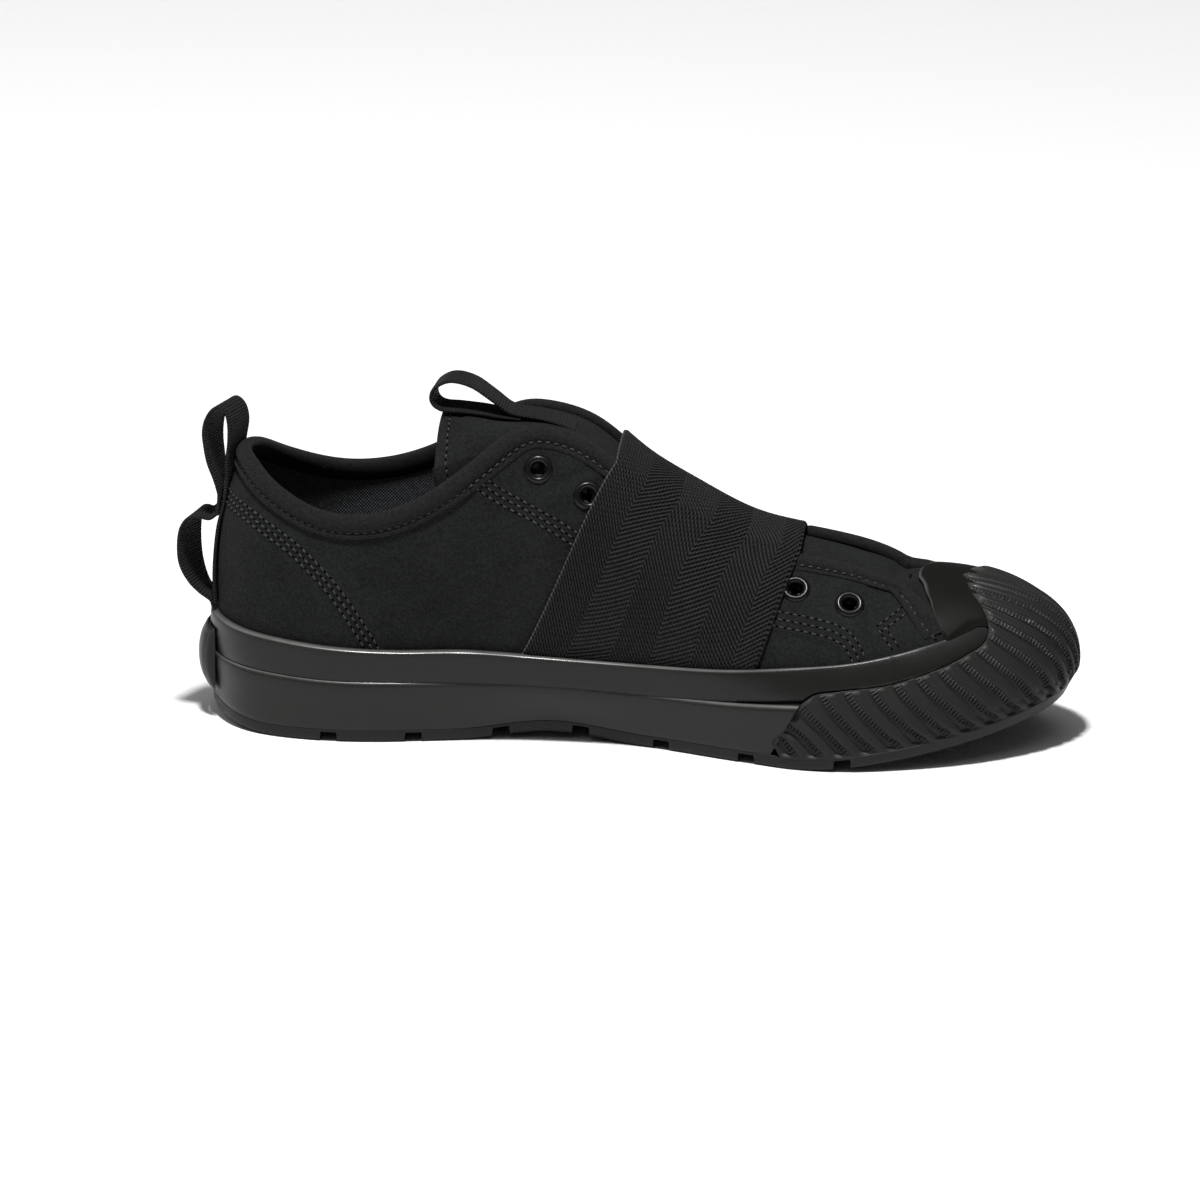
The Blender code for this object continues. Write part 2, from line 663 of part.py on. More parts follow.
def make_upper(material, collection):
    """Hollow wall, open at the collar, along the throat and underneath, with a bound edge."""
    u = sole_stations()
    bound = share_from_top(u, BINDING_HEIGHT)
    bare_end = share_from_top(u, BINDING_HEIGHT + 0.5)
    soft = share_from_top(u, 1.2)
    t = np.array([0.0, 0.16, 0.34, 0.52, 0.70, 0.86])
    v = np.column_stack([bare_end[:, None] * t[None, :], bare_end, bound, soft, np.ones(len(u))])
    step = np.array([0.0] * 7 + [BINDING_STEP, BINDING_STEP, 0.0])
    bare_toe = smooth(round_from_toe(u), 53.0, 64.0)
    grid = np.broadcast_to(u[:, None], v.shape)
    outer = skin(grid, v, bare_toe[:, None] * step)
    inner = skin(grid, v, np.broadcast_to(-np.array([WALL] * 9 + [WALL - 0.4]), v.shape))
    outer[:, 0, 2] = inner[:, 0, 2] = seat(outer[:, 0, 0])
    return add_shell("upper", outer, inner, True, material, collection)


def bridge(left, right, lead_left, lead_right, count):
    """Arc from one throat edge to the other that leaves each edge along its lead."""
    t = np.linspace(0.0, 1.0, count)[1:-1, None]
    w = 1.0 - t
    rising = left * w ** 3 + (left + lead_left) * (3 * w * w * t)
    return rising + (right + lead_right) * (3 * w * t * t) + right * t ** 3


def across_throat(u_in, u_out, v_low, off, fullness, under, over):
    """Points over the instep: up the inner side, across the throat, down the outer side."""
    v = v_low + (1.0 - v_low) * np.linspace(0.0, 1.0, under)
    left = skin(np.full(under, u_in), v, off)
    right = skin(np.full(under, u_out), v, off)
    width = np.linalg.norm(right[-1] - left[-1])
    lead = []
    for u in (u_in, u_out):
        d = bare(u, 1.0) - bare(u, 0.97)
        lead.append(d / np.linalg.norm(d) * width * fullness)
    middle = bridge(left[-1], right[-1], lead[0], lead[1], over)
    return np.concatenate([left, middle, right[::-1]])


def make_tongue(material, collection):
    """Tongue under the eyestays, from the cap to its arched free top."""
    x = SIDE_X[(SIDE_X >= -38.0) & (SIDE_X != 141.5)][::-1]
    fullness = np.interp(x, (-36, 40, 60, 100, 143), (0.04, 0.12, 0.36, 0.36, 0.25))
    outer, inner = [], []
    for each, full in zip(x, fullness):
        sides = (float(u_at(each, True)), float(u_at(each, False)))
        off = -(WALL + GAP + 0.15)
        outer.append(across_throat(*sides, 0.84, off, full, 3, 7))
        inner.append(across_throat(*sides, 0.84, off - TONGUE_THICKNESS, full, 3, 7))
    count = len(outer[0])
    for arch in TONGUE_TOP:
        t = np.linspace(-1.0, 1.0, count)
        y = arch.half * np.sin(t * math.pi / 2.0)
        z = arch.side + (arch.crest - arch.side) * (1.0 - np.abs(y / arch.half) ** 2.6)
        outer.append(np.column_stack([np.full(count, arch.x), y, z]))
        thin = (arch.half - TONGUE_THICKNESS) / arch.half
        inner.append(np.column_stack([np.full(count, arch.x), y * thin, z - TONGUE_THICKNESS * 0.9]))
    return add_shell("tongue", np.array(outer), np.array(inner), False, material, collection)


def bowed(share, bow):
    return share * (1.0 + bow) - bow * share ** 2


def make_band(material, collection):
    """Wide elastic over the instep, from foxing to foxing."""
    t = np.linspace(0.0, 1.0, 9)
    outer, inner = [], []
    shares = np.linspace(0.0, 1.0, 8)
    rear = BAND_REAR_LOW + (BAND_REAR_TOP - BAND_REAR_LOW) * bowed(shares, BAND_REAR_BOW)
    front = BAND_FRONT_LOW + (BAND_FRONT_TOP - BAND_FRONT_LOW) * bowed(shares, BAND_FRONT_BOW)
    under = [bare(*spot(eyelet.x, eyelet.z, side)) for eyelet in EYELETS[1:3] for side in (True, False)]
    for each in t:
        for store, off in ((outer, GAP + BAND_THICKNESS + BINDING_STEP), (inner, GAP + BINDING_STEP + 0.1)):
            sides = []
            for side in (True, False):
                u = u_at(rear + (front - rear) * each, side)
                start = share_at(u, FOXING_TOP(SHAPE.at(u)[:, 0]) + 0.9)
                v = start + (1.0 - start) * shares
                near = np.min([np.linalg.norm(bare(u, v) - p, axis=-1) for p in under], axis=0)
                sides.append((skin(u, v, off + 1.2 * np.exp(-(near / 13.0) ** 2)), u[-1]))
            (left, u_in), (right, u_out) = sides
            width = np.linalg.norm(right[-1] - left[-1])
            leads = []
            for u in (u_in, u_out):
                d = bare(u, 1.0) - bare(u, 0.97)
                leads.append(d / np.linalg.norm(d) * width * 0.24)
            middle = bridge(left[-1], right[-1], leads[0], leads[1], 8)
            store.append(np.concatenate([left, middle, right[::-1]]))
    return add_shell("elastic_band", np.array(outer), np.array(inner), False, material, collection)


def make_insole(material, collection):
    u = sole_stations()
    inset = np.full(len(u), -(WALL + 0.7))
    rings = np.stack([
        level_ring(u, inset, seat),
        level_ring(u, inset, lambda x: seat(x) + INSOLE_THICKNESS),
    ])
    return add_slab("insole", rings, material, collection)


def make_patch(material, collection):
    """Plain plate over both bands at the back of the heel."""
    u = np.linspace(-12.0, 12.0, 9)
    n = outward(u)
    foot = bare(u, 0.0)[:, :2]
    heights = np.array([10.0, 12.5, 20.7, 28.9, 31.4])
    rim = np.array([2.7, 2.2, 0.0, 2.2, 2.7])
    ends = 1.4 * (np.abs(u) > 11.0)
    grids = []
    for back in (False, True):
        sheets = []
        for z, ease in zip(heights, rim):
            reach = np.full(len(u), SIDE_BAND + 0.9) if back else SIDE_BAND + 4.9 - np.maximum(ends, ease)
            sheets.append(np.column_stack([foot + n * reach[:, None], np.full(len(u), z)]))
        grids.append(np.stack(sheets, 1))
    return add_shell("heel_patch", grids[0], grids[1], False, material, collection)


def make_eyelet(name, u, v, material, collection):
    """Rolled metal ring lying on the eyestay."""
    work = bmesh.new()
    profile = (
        (EYELET_HOLE, 0.0),
        (EYELET_RADIUS, 0.0),
        (EYELET_RADIUS - 0.9, EYELET_HEIGHT),
        (EYELET_HOLE + 0.2, EYELET_HEIGHT - 0.2),
    )
    first = [work.verts.new((r * MM, 0.0, h * MM)) for r, h in profile]
    edges = [work.edges.new((first[i], first[(i + 1) % len(first)])) for i in range(len(first))]
    bmesh.ops.spin(work, geom=first + edges, axis=(0, 0, 1), cent=(0, 0, 0), angle=2 * math.pi, steps=12)
    bmesh.ops.remove_doubles(work, verts=work.verts, dist=1e-6)
    bmesh.ops.recalc_face_normals(work, faces=work.faces)
    mesh = bpy.data.meshes.new(name)
    work.to_mesh(mesh)
    work.free()
    mesh.materials.append(material)
    ring = bpy.data.objects.new(name, mesh)
    direction = Vector(normal(u, v))
    ring.location = Vector(skin(u, v, GAP + 0.25)) * MM
    ring.rotation_euler = direction.to_track_quat("Z", "Y").to_euler()
    collection.objects.link(ring)
    return ring


def open_spline(points, count):
    """Even points on a smooth line through the given points."""
    points = np.asarray(points, float)
    knots = np.concatenate([[0.0], np.cumsum(np.linalg.norm(np.diff(points[:, :2], axis=0), axis=1))])
    ghost = np.vstack([2 * points[0] - points[1], points, 2 * points[-1] - points[-2]])
    out = []
    for s in np.linspace(0.0, knots[-1], count):
        i = min(int(np.searchsorted(knots, s, side="right")) - 1, len(points) - 2)
        t = (s - knots[i]) / (knots[i + 1] - knots[i])
        p = ghost[i:i + 4]
        bend = 2 * p[1] + (p[2] - p[0]) * t + (2 * p[0] - 5 * p[1] + 4 * p[2] - p[3]) * t * t
        out.append(0.5 * (bend + (3 * p[1] - p[0] - 3 * p[2] + p[3]) * t ** 3))
    return np.array(out)


def make_tape(name, points, width, count, material, collection):
    """Webbing bent along a line in the shoe's middle plane and turned about the upright."""
    line = open_spline([(p.x, p.z, p.turn) for p in points], count)
    rings = []
    for i in range(count):
        ahead, behind = line[min(i + 1, count - 1)], line[max(i - 1, 0)]
        run = (ahead - behind)[:2] / np.linalg.norm((ahead - behind)[:2])
        turn = math.radians(line[i][2])
        wide = np.array([math.sin(turn), math.cos(turn), 0.0])
        thick = np.array([-run[1], 0.0, run[0]])
        middle = np.array([line[i][0], 0.0, line[i][1]])
        ring = []
        for a, b in ((-1, -1), (1, -1), (1, 1), (-1, 1)):
            ring.append(middle + wide * a * width / 2.0 + thick * b * TAPE_THICKNESS / 2.0)
        rings.append(ring)
    return add_sweep(name, np.array(rings), material, collection)


def stand_on_origin(parts, others):
    """Move everything so that the middle of the box's underside is the origin."""
    low = np.full(3, np.inf)
    high = np.full(3, -np.inf)
    bpy.context.view_layer.update()
    for part in parts:
        for vertex in part.data.vertices:
            place = np.array(part.matrix_world @ vertex.co)
            low, high = np.minimum(low, place), np.maximum(high, place)
    shift = Vector((-(low[0] + high[0]) / 2.0, -(low[1] + high[1]) / 2.0, -low[2]))
    for part in list(parts) + list(others):
        part.location = part.location + shift


def main():
    for each in list(bpy.data.objects):
        bpy.data.objects.remove(each, do_unlink=True)
    shoe = bpy.data.collections.new("slip_on_sneaker")
    cutters = bpy.data.collections.new("cutters")
    bpy.context.scene.collection.children.link(shoe)
    bpy.context.scene.collection.children.link(cutters)

    rubber = (0.022, 0.021, 0.020)
    canvas = (0.012, 0.012, 0.014)
    outsole, cutter = make_outsole(make_material("outsole_rubber", rubber, 0.6), shoe, cutters)
    parts = [
        outsole,
        make_sidewall(make_material("sidewall_rubber", rubber, 0.5), shoe),
        make_foxing(make_material("foxing_rubber", rubber, 0.45), shoe),
        make_bumper(make_material("bumper_rubber", rubber, 0.5), shoe),
        make_cap(make_material("cap_rubber", rubber, 0.4), shoe),
        make_patch(make_material("patch_rubber", rubber, 0.5), shoe),
        make_upper(make_material("upper_canvas", canvas, 0.9), shoe),
        make_tongue(make_material("tongue_canvas", canvas, 0.9), shoe),
        make_insole(make_material("insole_cloth", canvas, 0.95), shoe),
        make_band(make_material("band_elastic", (0.010, 0.010, 0.011), 0.9), shoe),
    ]
    webbing = (0.013, 0.013, 0.014)
    parts.append(make_tape("heel_loop_upper", HEEL_LOOP_UPPER, TAPE_WIDTH, 36,
                           make_material("heel_upper_webbing", webbing, 0.85), shoe))
    parts.append(make_tape("heel_loop_lower", HEEL_LOOP_LOWER, TAPE_WIDTH, 18,
                           make_material("heel_lower_webbing", webbing, 0.85), shoe))
    parts.append(make_tape("tongue_loop", TONGUE_LOOP, TAPE_WIDTH - 2.0, 22,
                           make_material("tongue_webbing", webbing, 0.85), shoe))
    for side in ("inner", "outer"):
        for i, eyelet in enumerate(EYELETS):
            u, v = spot(eyelet.x, eyelet.z, side == "inner")
            name = "eyelet_%s_%d" % (side, i + 1)
            metal = make_material(name + "_metal", (0.01, 0.01, 0.01), 0.3, 0.6)
            parts.append(make_eyelet(name, u, v, metal, shoe))
    stand_on_origin(parts, [cutter])


main()
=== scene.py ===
"""Looks of a slip-on sneaker: canvas, elastic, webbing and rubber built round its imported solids."""

import math
from collections import namedtuple

import bmesh
import bpy
import numpy as np
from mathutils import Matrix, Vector


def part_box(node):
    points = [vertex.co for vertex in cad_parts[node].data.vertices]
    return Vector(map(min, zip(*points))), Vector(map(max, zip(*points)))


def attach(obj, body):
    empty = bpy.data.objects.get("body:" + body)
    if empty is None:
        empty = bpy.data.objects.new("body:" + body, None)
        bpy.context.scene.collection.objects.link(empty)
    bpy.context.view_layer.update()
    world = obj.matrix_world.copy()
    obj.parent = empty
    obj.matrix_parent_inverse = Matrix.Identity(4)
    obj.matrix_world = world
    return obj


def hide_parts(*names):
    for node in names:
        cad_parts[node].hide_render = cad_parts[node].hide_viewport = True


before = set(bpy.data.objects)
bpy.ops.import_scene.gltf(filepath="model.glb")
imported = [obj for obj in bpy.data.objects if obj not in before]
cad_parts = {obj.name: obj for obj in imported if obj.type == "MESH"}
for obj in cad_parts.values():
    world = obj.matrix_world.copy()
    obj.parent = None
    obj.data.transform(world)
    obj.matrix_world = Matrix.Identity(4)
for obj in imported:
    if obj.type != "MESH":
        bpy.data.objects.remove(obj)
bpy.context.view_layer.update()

bl_info = {
    "name": "Slip-on sneaker",
    "version": (1, 0, 0),
    "blender": (4, 5, 0),
    "location": "View3D > Sidebar > Sneaker",
    "description": "Builds the visible pieces of a slip-on sneaker round its packed solids",
    "category": "Mesh",
}

# Lengths are in millimetres until a mesh is made. X runs to the toe, -Y is the inner side of the foot.
MM = 0.001
GAP = 0.3
SEAT_HEIGHT = 9.5
OUTSOLE_THICKNESS = 4.0
SIDE_BAND = 6.0
WALL = 2.0
INSOLE_THICKNESS = 3.5
TOE_SPRING = 17.0
ARCH_LIFT = 2.5
HEEL_LIFT = 4.0
HEEL_FLAT = (-122.0, -62.0)
BALL_FLAT = (2.0, 52.0)
ARCH_MIDDLE = -30.0
UNDERCUT_INNER = 5.0
UNDERCUT_OUTER = 2.0
TOE_TUCK = 6.0
BALL_TUCK = 2.4
CAP_THICKNESS = 1.3
BAND_THICKNESS = 1.1
BINDING_STEP = 0.6
TONGUE_THICKNESS = 2.6
GROOVE_WIDTH = 5.5
GROOVE_DEPTH = 3.3
GROOVES = (-104.0, -75.5, -46.5, -20.6, 6.5, 36.2, 69.0)
RIB_BEND = 1.3
EYELET_RADIUS = 5.0
EYELET_HOLE = 2.6
TAPE_WIDTH = 14.0
TAPE_THICKNESS = 1.2
BUMPER_END_TOP = 53.0
BUMPER_END_LOW = 43.3
BAND_REAR_LOW = -40.4
BAND_REAR_TOP = -7.4
BAND_REAR_BOW = 0.24
BAND_FRONT_LOW = 41.0
BAND_FRONT_TOP = 59.7
BAND_FRONT_BOW = 0.68
INSOLE_INSET = WALL + 0.7
TONGUE_DEPTH = WALL + GAP + 0.15
SIDEWALL_LAP = 1.4
FOXING_END = 131.0
CAP_REACH = 52.0
PATCH_HALF = 12.0
PATCH_LOW = 10.0
PATCH_HEIGHT = 21.4

# One row per section of the shoe, from heel to toe.
# x, inner, outer: sole outline at the ledge. flare, rise: lower handle of the section.
# top_x, top_y, top_z: collar and throat edge. out, drop: upper handle of the section.
Section = namedtuple("Section", "x inner outer flare_in flare_out rise top_x top_y top_z out drop")
HEEL = Section(-146, 0, 0, 5, 5, 28, -135, 0, 92.5, 11, 28)
SIDES = (
    Section(-142, 13.5, 13.5, 5, 5, 28, -131.5, 11, 91, 11, 27),
    Section(-133, 24.5, 24.5, 5, 5, 27, -124.5, 19.5, 86, 9.5, 26),
    Section(-119, 31, 31, 5, 5, 25, -112.5, 27, 80.2, 6.5, 24),
    Section(-96, 34, 34.5, 5, 4.5, 23, -95, 31.8, 77.8, 3.5, 22),
    Section(-69, 32.2, 35.5, 6, 3.5, 25, -71, 30.6, 85.5, 3.5, 24),
    Section(-53, 31, 36.2, 8, 4, 28, -54, 24.2, 97.2, 9, 25),
    Section(-42, 30.2, 36.8, 9, 4.5, 30, -43, 17, 104.3, 15, 26),
    Section(-32, 30, 37.6, 9.5, 4.5, 30, -33, 14.2, 105.2, 18, 25),
    Section(-18, 30.6, 39.2, 9.5, 4, 29, -19, 14, 100.8, 19.5, 23),
    Section(0, 33, 43, 8, 3, 26, -4, 14.5, 89.0, 20.5, 20),
    Section(20, 39, 47.5, 5, 2.5, 23, 14, 15, 77.8, 21.5, 17),
    Section(41, 46.5, 52, 2.5, 2, 21, 34, 15, 67.8, 22, 13),
    Section(62, 51, 54, 1.5, 1.5, 19, 54, 14.8, 63.0, 21.5, 10),
    Section(82, 50.3, 50.5, 1, 1, 18, 71, 14.5, 59.2, 20.5, 7.5),
    Section(101, 46, 43.5, 0.9, 0.9, 17.5, 81.8, 13.8, 54.8, 20, 5),
    Section(118, 38.2, 33.6, 1.5, 1.5, 18.5, 85.8, 12, 52.2, 24.5, 3),
    Section(133, 27, 21.4, 2.0, 2.0, 18.5, 87.4, 8, 52.8, 29.5, 1.4),
    Section(142.3, 15.8, 10, 2.5, 2.5, 19.2, 88, 4, 53.3, 34.5, 0.6),
)
TOE = Section(146, 3, -3, 2.5, 2.5, 19, 88.2, 0.5, 53.5, 37, 0.4)

# Heights along the sole: top of the lower band and top of the foxing.
Line = namedtuple("Line", "x ledge foxing")
LINES = (
    Line(-147, 23.4, 36.4),
    Line(-125, 22.7, 34.8),
    Line(-103, 21.6, 33.2),
    Line(-80, 21.4, 32.4),
    Line(-57, 21.4, 32.7),
    Line(-38, 20.9, 31.4),
    Line(-20, 20.3, 30.6),
    Line(5, 19.6, 30.2),
    Line(30, 20.2, 30.8),
    Line(53, 22.0, 32.7),
    Line(74, 23.3, 34.6),
    Line(88, 24.4, 36.6),
    Line(102, 26.0, 38.9),
    Line(118, 28.0, 42.0),
    Line(132, 29.5, 45.0),
    Line(147, 32.0, 46.0),
)

# Edges of the toe pieces as shares of the section.
# Bumper, way: share of the way round the sole from the toe's middle to the bumper's end.
Edge = namedtuple("Edge", "way share")
BUMPER_TOP = (
    Edge(0, 0.845),
    Edge(0.06, 0.81),
    Edge(0.14, 0.725),
    Edge(0.185, 0.64),
    Edge(0.235, 0.545),
    Edge(0.31, 0.43),
    Edge(0.43, 0.365),
    Edge(0.60, 0.307),
    Edge(0.72, 0.277),
    Edge(0.87, 0.262),
    Edge(0.93, 0.248),
    Edge(1.0, 0.172),
    Edge(1.1, 0.10),
)
# Rounded edge of the tread layer, from the floor up. drawn: share of the tuck round the toe.
Tread = namedtuple("Tread", "inset rise drawn")
OUTSOLE_EDGE = (
    Tread(1.8, 0.0, 1.0),
    Tread(1.1, 0.2, 1.0),
    Tread(0.7, 0.7, 0.97),
    Tread(0.5, 1.5, 0.93),
    Tread(0.4, 2.7, 0.83),
    Tread(0.35, 3.7, 0.72),
    Tread(0.35, 4.1, 0.69),
    Tread(0.6, 4.3, 0.68),
)
# Lower band in section, from its hidden foot up the face, over the ledge and down the inside.
# share: of its height. reach: past the sole outline. hollow: share of the arch's undercut.
# rub: share of a painted highlight along the edge. inside: lies against the upper.
Side = namedtuple("Side", "share reach hollow rub inside")
SIDEWALL = (
    Side(0, 0, 0, 0, True),
    Side(0, -0.4, 1, 0, False),
    Side(0.03, -0.25, 1, 0, False),
    Side(0.12, -0.12, 0.9, 0, False),
    Side(0.26, -0.04, 0.73, 0, False),
    Side(0.40, 0, 0.55, 0, False),
    Side(0.55, 0.2, 0.38, 0, False),
    Side(0.70, 0.42, 0.23, 0, False),
    Side(0.80, 0.5, 0.15, 0, False),
    Side(0.88, 0.5, 0.09, 0, False),
    Side(0.93, 0.42, 0.06, 0, False),
    Side(0.965, 0.2, 0.03, 0.4, False),
    Side(0.988, -0.15, 0.01, 1, False),
    Side(1, -0.7, 0, 1, False),
    Side(1, -1.6, 0, 0, False),
    Side(1, 0, 0, 0, True),
    Side(0.6, 0, 0, 0, True),
    Side(0.28, 0, 0, 0, True),
)
# Foxing in section, likewise. reach: over the canvas.
Lip = namedtuple("Lip", "share reach rub")
FOXING = (
    Lip(0, 0.4, 0),
    Lip(0, 3.2, 0),
    Lip(0.03, 3.55, 0),
    Lip(0.10, 3.65, 0),
    Lip(0.30, 3.6, 0),
    Lip(0.55, 3.45, 0),
    Lip(0.78, 3.25, 0),
    Lip(0.90, 3.1, 0),
    Lip(0.945, 2.95, 0.15),
    Lip(0.972, 2.7, 0.8),
    Lip(0.99, 2.3, 1),
    Lip(1, 1.7, 0.8),
    Lip(1, 0.4, 0),
    Lip(0.97, 0.4, 0),
    Lip(0.5, 0.4, 0),
    Lip(0.2, 0.4, 0),
)
# Bumper in section by share of its height. Its place on the shoe is fixed + upward * its top edge.
# side, toe: reach over the canvas there. rear: more reach near its ends. drawn: share of the tuck.
Wrap = namedtuple("Wrap", "share fixed upward side toe rear drawn")
BUMPER = (
    Wrap(0, -1.07, 0, 6.4, 6.4, 0.2, 0.72),
    Wrap(0.12, -0.5, 0, 6.2, 6.2, 0.3, 0.37),
    Wrap(0.26, 0, 0.02, 5.9, 5.4, 0.5, 0.13),
    Wrap(0.46, 0, 0.30, 5.1, 3.5, 0.9, 0),
    Wrap(0.72, 0, 0.62, 4.3, 2.2, 1.5, 0),
    Wrap(1, 0, 1, 3.3, 1.9, 2.0, 0),
)

# Ribs of the bumper: millimetres round the sole from the toe's middle to every second rib,
# at the bumper's lower and upper edge.
Rib = namedtuple("Rib", "count low top")
RIBS = (
    Rib(0, 0, 0),
    Rib(2, 4.2, 16.8),
    Rib(4, 16.2, 31.4),
    Rib(6, 31.8, 49.0),
    Rib(8, 48.9, 67.0),
    Rib(10, 66.4, 84.0),
    Rib(12, 83.8, 100.7),
    Rib(14, 101.4, 116.5),
    Rib(16, 119.0, 132.0),
)
# One rib from crest to crest: share of its width and height over the bumper's face.
Ridge = namedtuple("Ridge", "part height")
RIDGE = (
    Ridge(0.0, 0.0),
    Ridge(0.05, -0.01),
    Ridge(0.10, -0.05),
    Ridge(0.14, -0.14),
    Ridge(0.165, -0.40),
    Ridge(0.19, -0.46),
    Ridge(0.25, -0.52),
    Ridge(0.31, -0.58),
    Ridge(0.37, -0.64),
    Ridge(0.43, -0.70),
    Ridge(0.465, -0.75),
    Ridge(0.49, -0.95),
    Ridge(0.54, -1.05),
    Ridge(0.60, -1.08),
    Ridge(0.67, -1.0),
    Ridge(0.74, -0.82),
    Ridge(0.81, -0.55),
    Ridge(0.88, -0.26),
    Ridge(0.94, -0.08),
)
# Cap and bound edge, way: millimetres round the sole from the toe's middle.
CAP_REAR = (
    Edge(0, 0.98),
    Edge(13, 0.965),
    Edge(20, 0.935),
    Edge(37, 0.824),
    Edge(48, 0.663),
    Edge(51.6, 0.541),
    Edge(54, 0.43),
)
BOUND_FRONT = (
    Edge(70, 1.0),
    Edge(64, 1.0),
    Edge(58, 1.0),
    Edge(52, 0.998),
    Edge(47, 0.985),
    Edge(44.6, 0.94),
    Edge(44.3, 0.87),
    Edge(45.4, 0.80),
    Edge(46.8, 0.73),
    Edge(47.8, 0.66),
    Edge(48.6, 0.58),
)

# Bound edge in section, from the sewn flange over the roll to the inside.
# below: distance from the edge into the panel. out: height over the canvas. rise: past the edge.
Roll = namedtuple("Roll", "below out rise")
ROLL = (
    Roll(6.2, 0.15, 0),
    Roll(6.85, 0.22, 0),
    Roll(7.0, 0.50, 0),
    Roll(6.8, 0.85, 0),
    Roll(6.3, 1.0, 0),
    Roll(5.7, 0.90, 0),
    Roll(5.2, 0.62, 0),
    Roll(4.85, 0.45, 0),
    Roll(4.5, 0.65, 0),
    Roll(4.1, 1.15, 0),
    Roll(3.4, 1.60, 0),
    Roll(2.4, 1.80, 0),
    Roll(1.4, 1.70, 0),
    Roll(0.5, 1.35, 0),
    Roll(0, 0.9, 0.45),
    Roll(0, 0.1, 0.95),
    Roll(0, -0.8, 1.15),
    Roll(0, -1.7, 0.95),
    Roll(0, -2.5, 0.4),
    Roll(0.8, -2.9, 0),
    Roll(2.2, -3.0, 0),
    Roll(3.8, -2.8, 0),
    Roll(5.2, -2.4, 0),
    Roll(6.4, -1.9, 0),
)

# Free top of the tongue behind the eyestays.
# spread, drop: how far its sides go on outward and down behind the collar.
Arch = namedtuple("Arch", "x crest half side spread drop")
TONGUE_TOP = (
    Arch(-49.5, 105.2, 17.0, 98.0, 2.0, 6.0),
    Arch(-59, 106.4, 20.5, 96.5, 2.5, 9.0),
    Arch(-69, 105.4, 25.0, 93.5, 1.0, 9.0),
)

# Middle lines of the webbing loops, with the turn of the tape about the upright.
# The tape of the upper heel loop also lies down the heel to the foxing.
Point = namedtuple("Point", "x z turn")
HEEL_LOOP_UPPER = (
    Point(-144.4, 38.6, 0),
    Point(-144.6, 45.0, 0),
    Point(-144.5, 52.0, 0),
    Point(-143.9, 60.0, 0),
    Point(-143.1, 66.0, 0),
    Point(-141.9, 71.0, 0),
    Point(-140.5, 76.0, 3),
    Point(-139.2, 81.5, 9),
    Point(-138.3, 88.0, 17),
    Point(-137.3, 94.5, 20),
    Point(-136.9, 100.0, 23),
    Point(-137.8, 104.6, 22),
    Point(-140.1, 107.0, 21),
    Point(-142.5, 106.0, 22),
    Point(-144.5, 102.6, 23),
    Point(-145.4, 98.4, 23),
    Point(-145.3, 93.4, 20),
    Point(-144.5, 87.6, 17),
    Point(-143.2, 82.0, 10),
    Point(-142.7, 77.6, 3),
    Point(-142.9, 75.0, 0),
    Point(-143.5, 69.5, 0),
)
HEEL_LOOP_LOWER = (
    Point(-144.0, 69.6, 0),
    Point(-146.0, 68.2, 2),
    Point(-148.8, 68.7, 8),
    Point(-151.4, 68.0, 16),
    Point(-153.1, 64.2, 24),
    Point(-153.6, 58.0, 27),
    Point(-153.0, 51.6, 26),
    Point(-151.0, 46.2, 18),
    Point(-148.5, 42.5, 8),
    Point(-145.9, 39.9, 0),
    Point(-145.0, 37.6, 0),
)
TONGUE_LOOP = (
    Point(-24.0, 102.0, 0),
    Point(-29.0, 104.0, 0),
    Point(-36.0, 105.8, 0),
    Point(-45.0, 107.4, 0),
    Point(-51.0, 111.6, 2),
    Point(-58.0, 116.4, 4),
    Point(-65.0, 118.0, 6),
    Point(-70.2, 115.4, 6),
    Point(-71.4, 111.2, 5),
    Point(-68.6, 108.2, 3),
    Point(-62.0, 107.6, 1),
    Point(-55.0, 106.9, 0),
    Point(-49.0, 106.0, 0),
    Point(-42.0, 105.4, 0),
)

# Eyelet centres on the sides of the throat.
Eyelet = namedtuple("Eyelet", "x z")
EYELETS = (Eyelet(-34.7, 93.2), Eyelet(-18.0, 85.2), Eyelet(51.5, 55.5), Eyelet(69.6, 51.4))

# Sewn lines on the sides, in the shoe's length and height.
Spot = namedtuple("Spot", "x z")
COUNTER_SEAM = (
    Spot(-140.5, 76.3),
    Spot(-132.7, 74.6),
    Spot(-125.8, 71.4),
    Spot(-119.5, 68.2),
    Spot(-113.4, 64.2),
    Spot(-104.5, 56.0),
    Spot(-97.7, 46.9),
    Spot(-90.8, 35.4),
    Spot(-88.8, 31.0),
)
EYESTAY_SEAM = (
    Spot(-56.0, 91.6),
    Spot(-47.4, 85.2),
    Spot(-37.0, 79.7),
    Spot(-27.1, 74.6),
    Spot(-20.4, 70.7),
    Spot(0.0, 60.5),
    Spot(20.0, 53.0),
    Spot(35.0, 49.0),
    Spot(48.9, 46.9),
    Spot(57.4, 45.6),
    Spot(64.6, 44.0),
    Spot(69.8, 41.4),
    Spot(73.2, 36.6),
    Spot(74.0, 34.5),
)
STRIP_REAR = (Spot(88.2, 49.4), Spot(80.5, 45.1), Spot(85.3, 39.4))
STRIP_FRONT = (Spot(88.6, 50.8), Spot(92.5, 47.9), Spot(99.2, 42.0))

